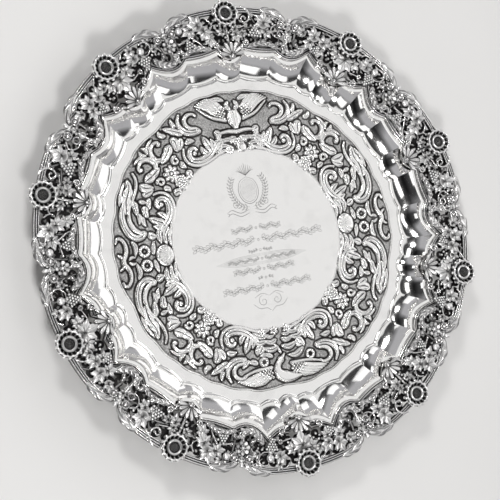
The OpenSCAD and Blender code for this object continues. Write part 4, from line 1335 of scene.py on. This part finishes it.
def build_salver():
    # tarnish_and_shade is the darkest colour of several silvers: tarnish, and painted shade where the shade
    # attribute or the corner darkening is high
    bright, tarnish_and_shade = (0.93, 0.92, 0.905), (0.035, 0.033, 0.031)
    sheet = silver("polished_sheet", bright, (0.06, 0.057, 0.055), 0.07, 0.35, 0.004, 0.9)
    wire = silver("polished_wire", bright, tarnish_and_shade, 0.10, 0.4, 0.006, 0.7)
    chased = silver("chased_silver", bright, (0.035, 0.032, 0.031), 0.20, 0.5, 0.02, 0.8, 1.2, 0, 0.55, 2.6)
    cast = silver("cast_silver", (0.80, 0.79, 0.78), (0.012, 0.011, 0.011), 0.18, 0.5, 0.03, 1.2, 0, 0.06,
                  1.0)
    vine = silver("vine_silver", (0.85, 0.84, 0.83), (0.02, 0.019, 0.018), 0.27, 0.5, 0.05, 1.0, 0, 0.12,
                  1.0)
    petal = silver("flower_silver", (0.85, 0.84, 0.83), (0.015, 0.014, 0.014), 0.24, 0.5, 0.04, 1.1, 0,
                   0.12, 0.35)
    fan = silver("shell_silver", (0.85, 0.84, 0.83), tarnish_and_shade, 0.22, 0.45, 0.03, 1.0, 0, 0.08, 0.8)
    scroll = silver("foot_silver", bright, tarnish_and_shade, 0.13, 0.45, 0.03, 1.2)
    cut = silver("engraved_line", (0.6, 0.59, 0.58), (0.36, 0.355, 0.35), 0.35, 0.45, 0.01, 0.6)

    plate().piece("plate", sheet, "sheet", ["plate"], 24)
    moulding().piece("rim_moulding", wire, "moulding", ["rim_moulding"], 60)
    quarters = ((0, chase_side), (90, chase_top), (180, chase_side), (270, chase_bottom))
    for i, (axis, centrepiece) in enumerate(quarters):
        band = Chasing(axis)
        for side in (-1, 1):
            chase_common(band, side)
        chase_diagonals(band)
        centrepiece(band)
        band.slab().piece(node_name("chased_band", i), chased, "sheet", (), 75)
    marks = Shape()
    engraving().copy_to(marks, 90 + BAND_TURN)
    marks.piece("engraved_ornament", cut, "sheet", (), 60)

    designs = (casting_a(), casting_b())
    flower = daisy()
    shells = (shell(0), shell(SECTION_ANGLE))
    joints = Shape()
    for i in range(SECTIONS):
        angle = FIRST_ANGLE + i * SECTION_ANGLE
        castings = ((designs[i % 2][0], "border_section", cast, "cast_border"),
                    (designs[i % 2][1], "vine_spray", vine, "vine"),
                    (flower, "daisy", petal, "flowers"), (shells[i % 2], "rim_shell", fan, "shells"))
        for shape, base, material, slot in castings:
            made = Shape()
            shape.copy_to(made, angle)
            made.piece(node_name(base, i) + "_silver", material, slot, [node_name(base, i)])
        joint_ornament(i).copy_to(joints, angle + SECTION_ANGLE / 2)
    joints.piece("joint_buds_silver", vine, "cast_border", ["joint_buds"])
    for i in range(4):
        for shape, base in zip(foot_shapes(i + 1), ("foot", "foot_leaf")):
            shape.piece(node_name(base, i) + "_silver", scroll, "feet", [node_name(base, i)])


# ---- Floor, light and camera ----

CAMERA_TARGET = (-0.0137, -0.0124, FLOOR_Z * MM)
CAMERA_AZIMUTH = -172.55
CAMERA_ELEVATION = 66.4
CAMERA_DISTANCE = 1.628
CAMERA_ROLL = 72.66
CAMERA_LENS = 94.2


def toward(azimuth, elevation):
    a, e = math.radians(azimuth), math.radians(elevation)
    return Vector((math.cos(a) * math.cos(e), math.sin(a) * math.cos(e), math.sin(e)))


def add_floor():
    bpy.ops.mesh.primitive_grid_add(x_subdivisions=8, y_subdivisions=8, size=9)
    floor = bpy.context.object
    floor.name = "floor"
    floor.data.materials.append(floor_material())


def add_light(name, azimuth, elevation, distance, width, height, power):
    """A soft panel of light that faces the salver."""
    data = bpy.data.lights.new(name, "AREA")
    data.shape = "RECTANGLE"
    data.size, data.size_y = width, height
    data.energy = power
    lamp = bpy.data.objects.new(name, data)
    bpy.context.scene.collection.objects.link(lamp)
    direction = toward(azimuth, elevation)
    lamp.location = direction * distance
    lamp.rotation_mode = "QUATERNION"
    lamp.rotation_quaternion = direction.to_track_quat("Z", "Y")
    lamp.visible_camera = False


def add_camera():
    data = bpy.data.cameras.new("camera")
    data.sensor_width = 36
    data.lens = CAMERA_LENS
    data.clip_start, data.clip_end = 0.05, 20
    camera = bpy.data.objects.new("camera", data)
    bpy.context.scene.collection.objects.link(camera)
    away = toward(CAMERA_AZIMUTH, CAMERA_ELEVATION)
    camera.location = Vector(CAMERA_TARGET) + away * CAMERA_DISTANCE
    camera.rotation_mode = "QUATERNION"
    level = (-away).to_track_quat("-Z", "Y")
    camera.rotation_quaternion = level @ Quaternion((0, 0, 1), math.radians(CAMERA_ROLL))
    bpy.context.scene.camera = camera


def add_world():
    """A studio with a pale band round the horizon, broken by a dark flag to the left."""
    world = bpy.data.worlds.new("studio")
    world.use_nodes = True
    tree = world.node_tree
    place = add_node(tree, "TexCoord").outputs["Generated"]

    def along(direction, *stops):
        facing = add_node(tree, "VectorMath", {0: place, 1: direction}, operation="DOT_PRODUCT")
        greys = [(position, (tone, tone, tone * 1.02)) for position, tone in stops]
        return ramp(tree, facing.outputs["Value"], *greys)

    band = along((0, 0, 1), (0.40, 0.42), (0.62, 0.035))
    flag = along(toward(176, 22), (0.80, 1.0), (0.94, 0.10))
    # Sockets 6 and 7 of a Mix node are its two colours
    both = add_node(tree, "Mix", {"Factor": 1.0, 6: band, 7: flag}, data_type="RGBA", blend_type="MULTIPLY")
    tree.links.new(both.outputs[2], tree.nodes["Background"].inputs["Color"])
    bpy.context.scene.world = world


build_salver()
add_floor()
add_world()
add_light("key_panel", 8, 64, 1.5, 1.5, 1.3, 5.0)
add_light("right_panel", 10, 26, 1.5, 1.3, 1.0, 3.6)
add_light("left_panel", 172, 12, 1.5, 0.7, 0.3, 1.0)
add_light("foot_panel", 172, 68, 1.7, 0.75, 0.3, 2.2)
add_light("back_panel", 74, 32, 1.7, 0.9, 0.7, 1.8)
add_light("front_panel", -82, 46, 1.9, 1.1, 0.7, 3)
add_light("front_lamp", -122, 56, 1.8, 0.3, 0.3, 12)
add_light("back_lamp", 118, 52, 1.8, 0.3, 0.3, 9)
add_camera()
bpy.context.scene.view_settings.view_transform = "Standard"
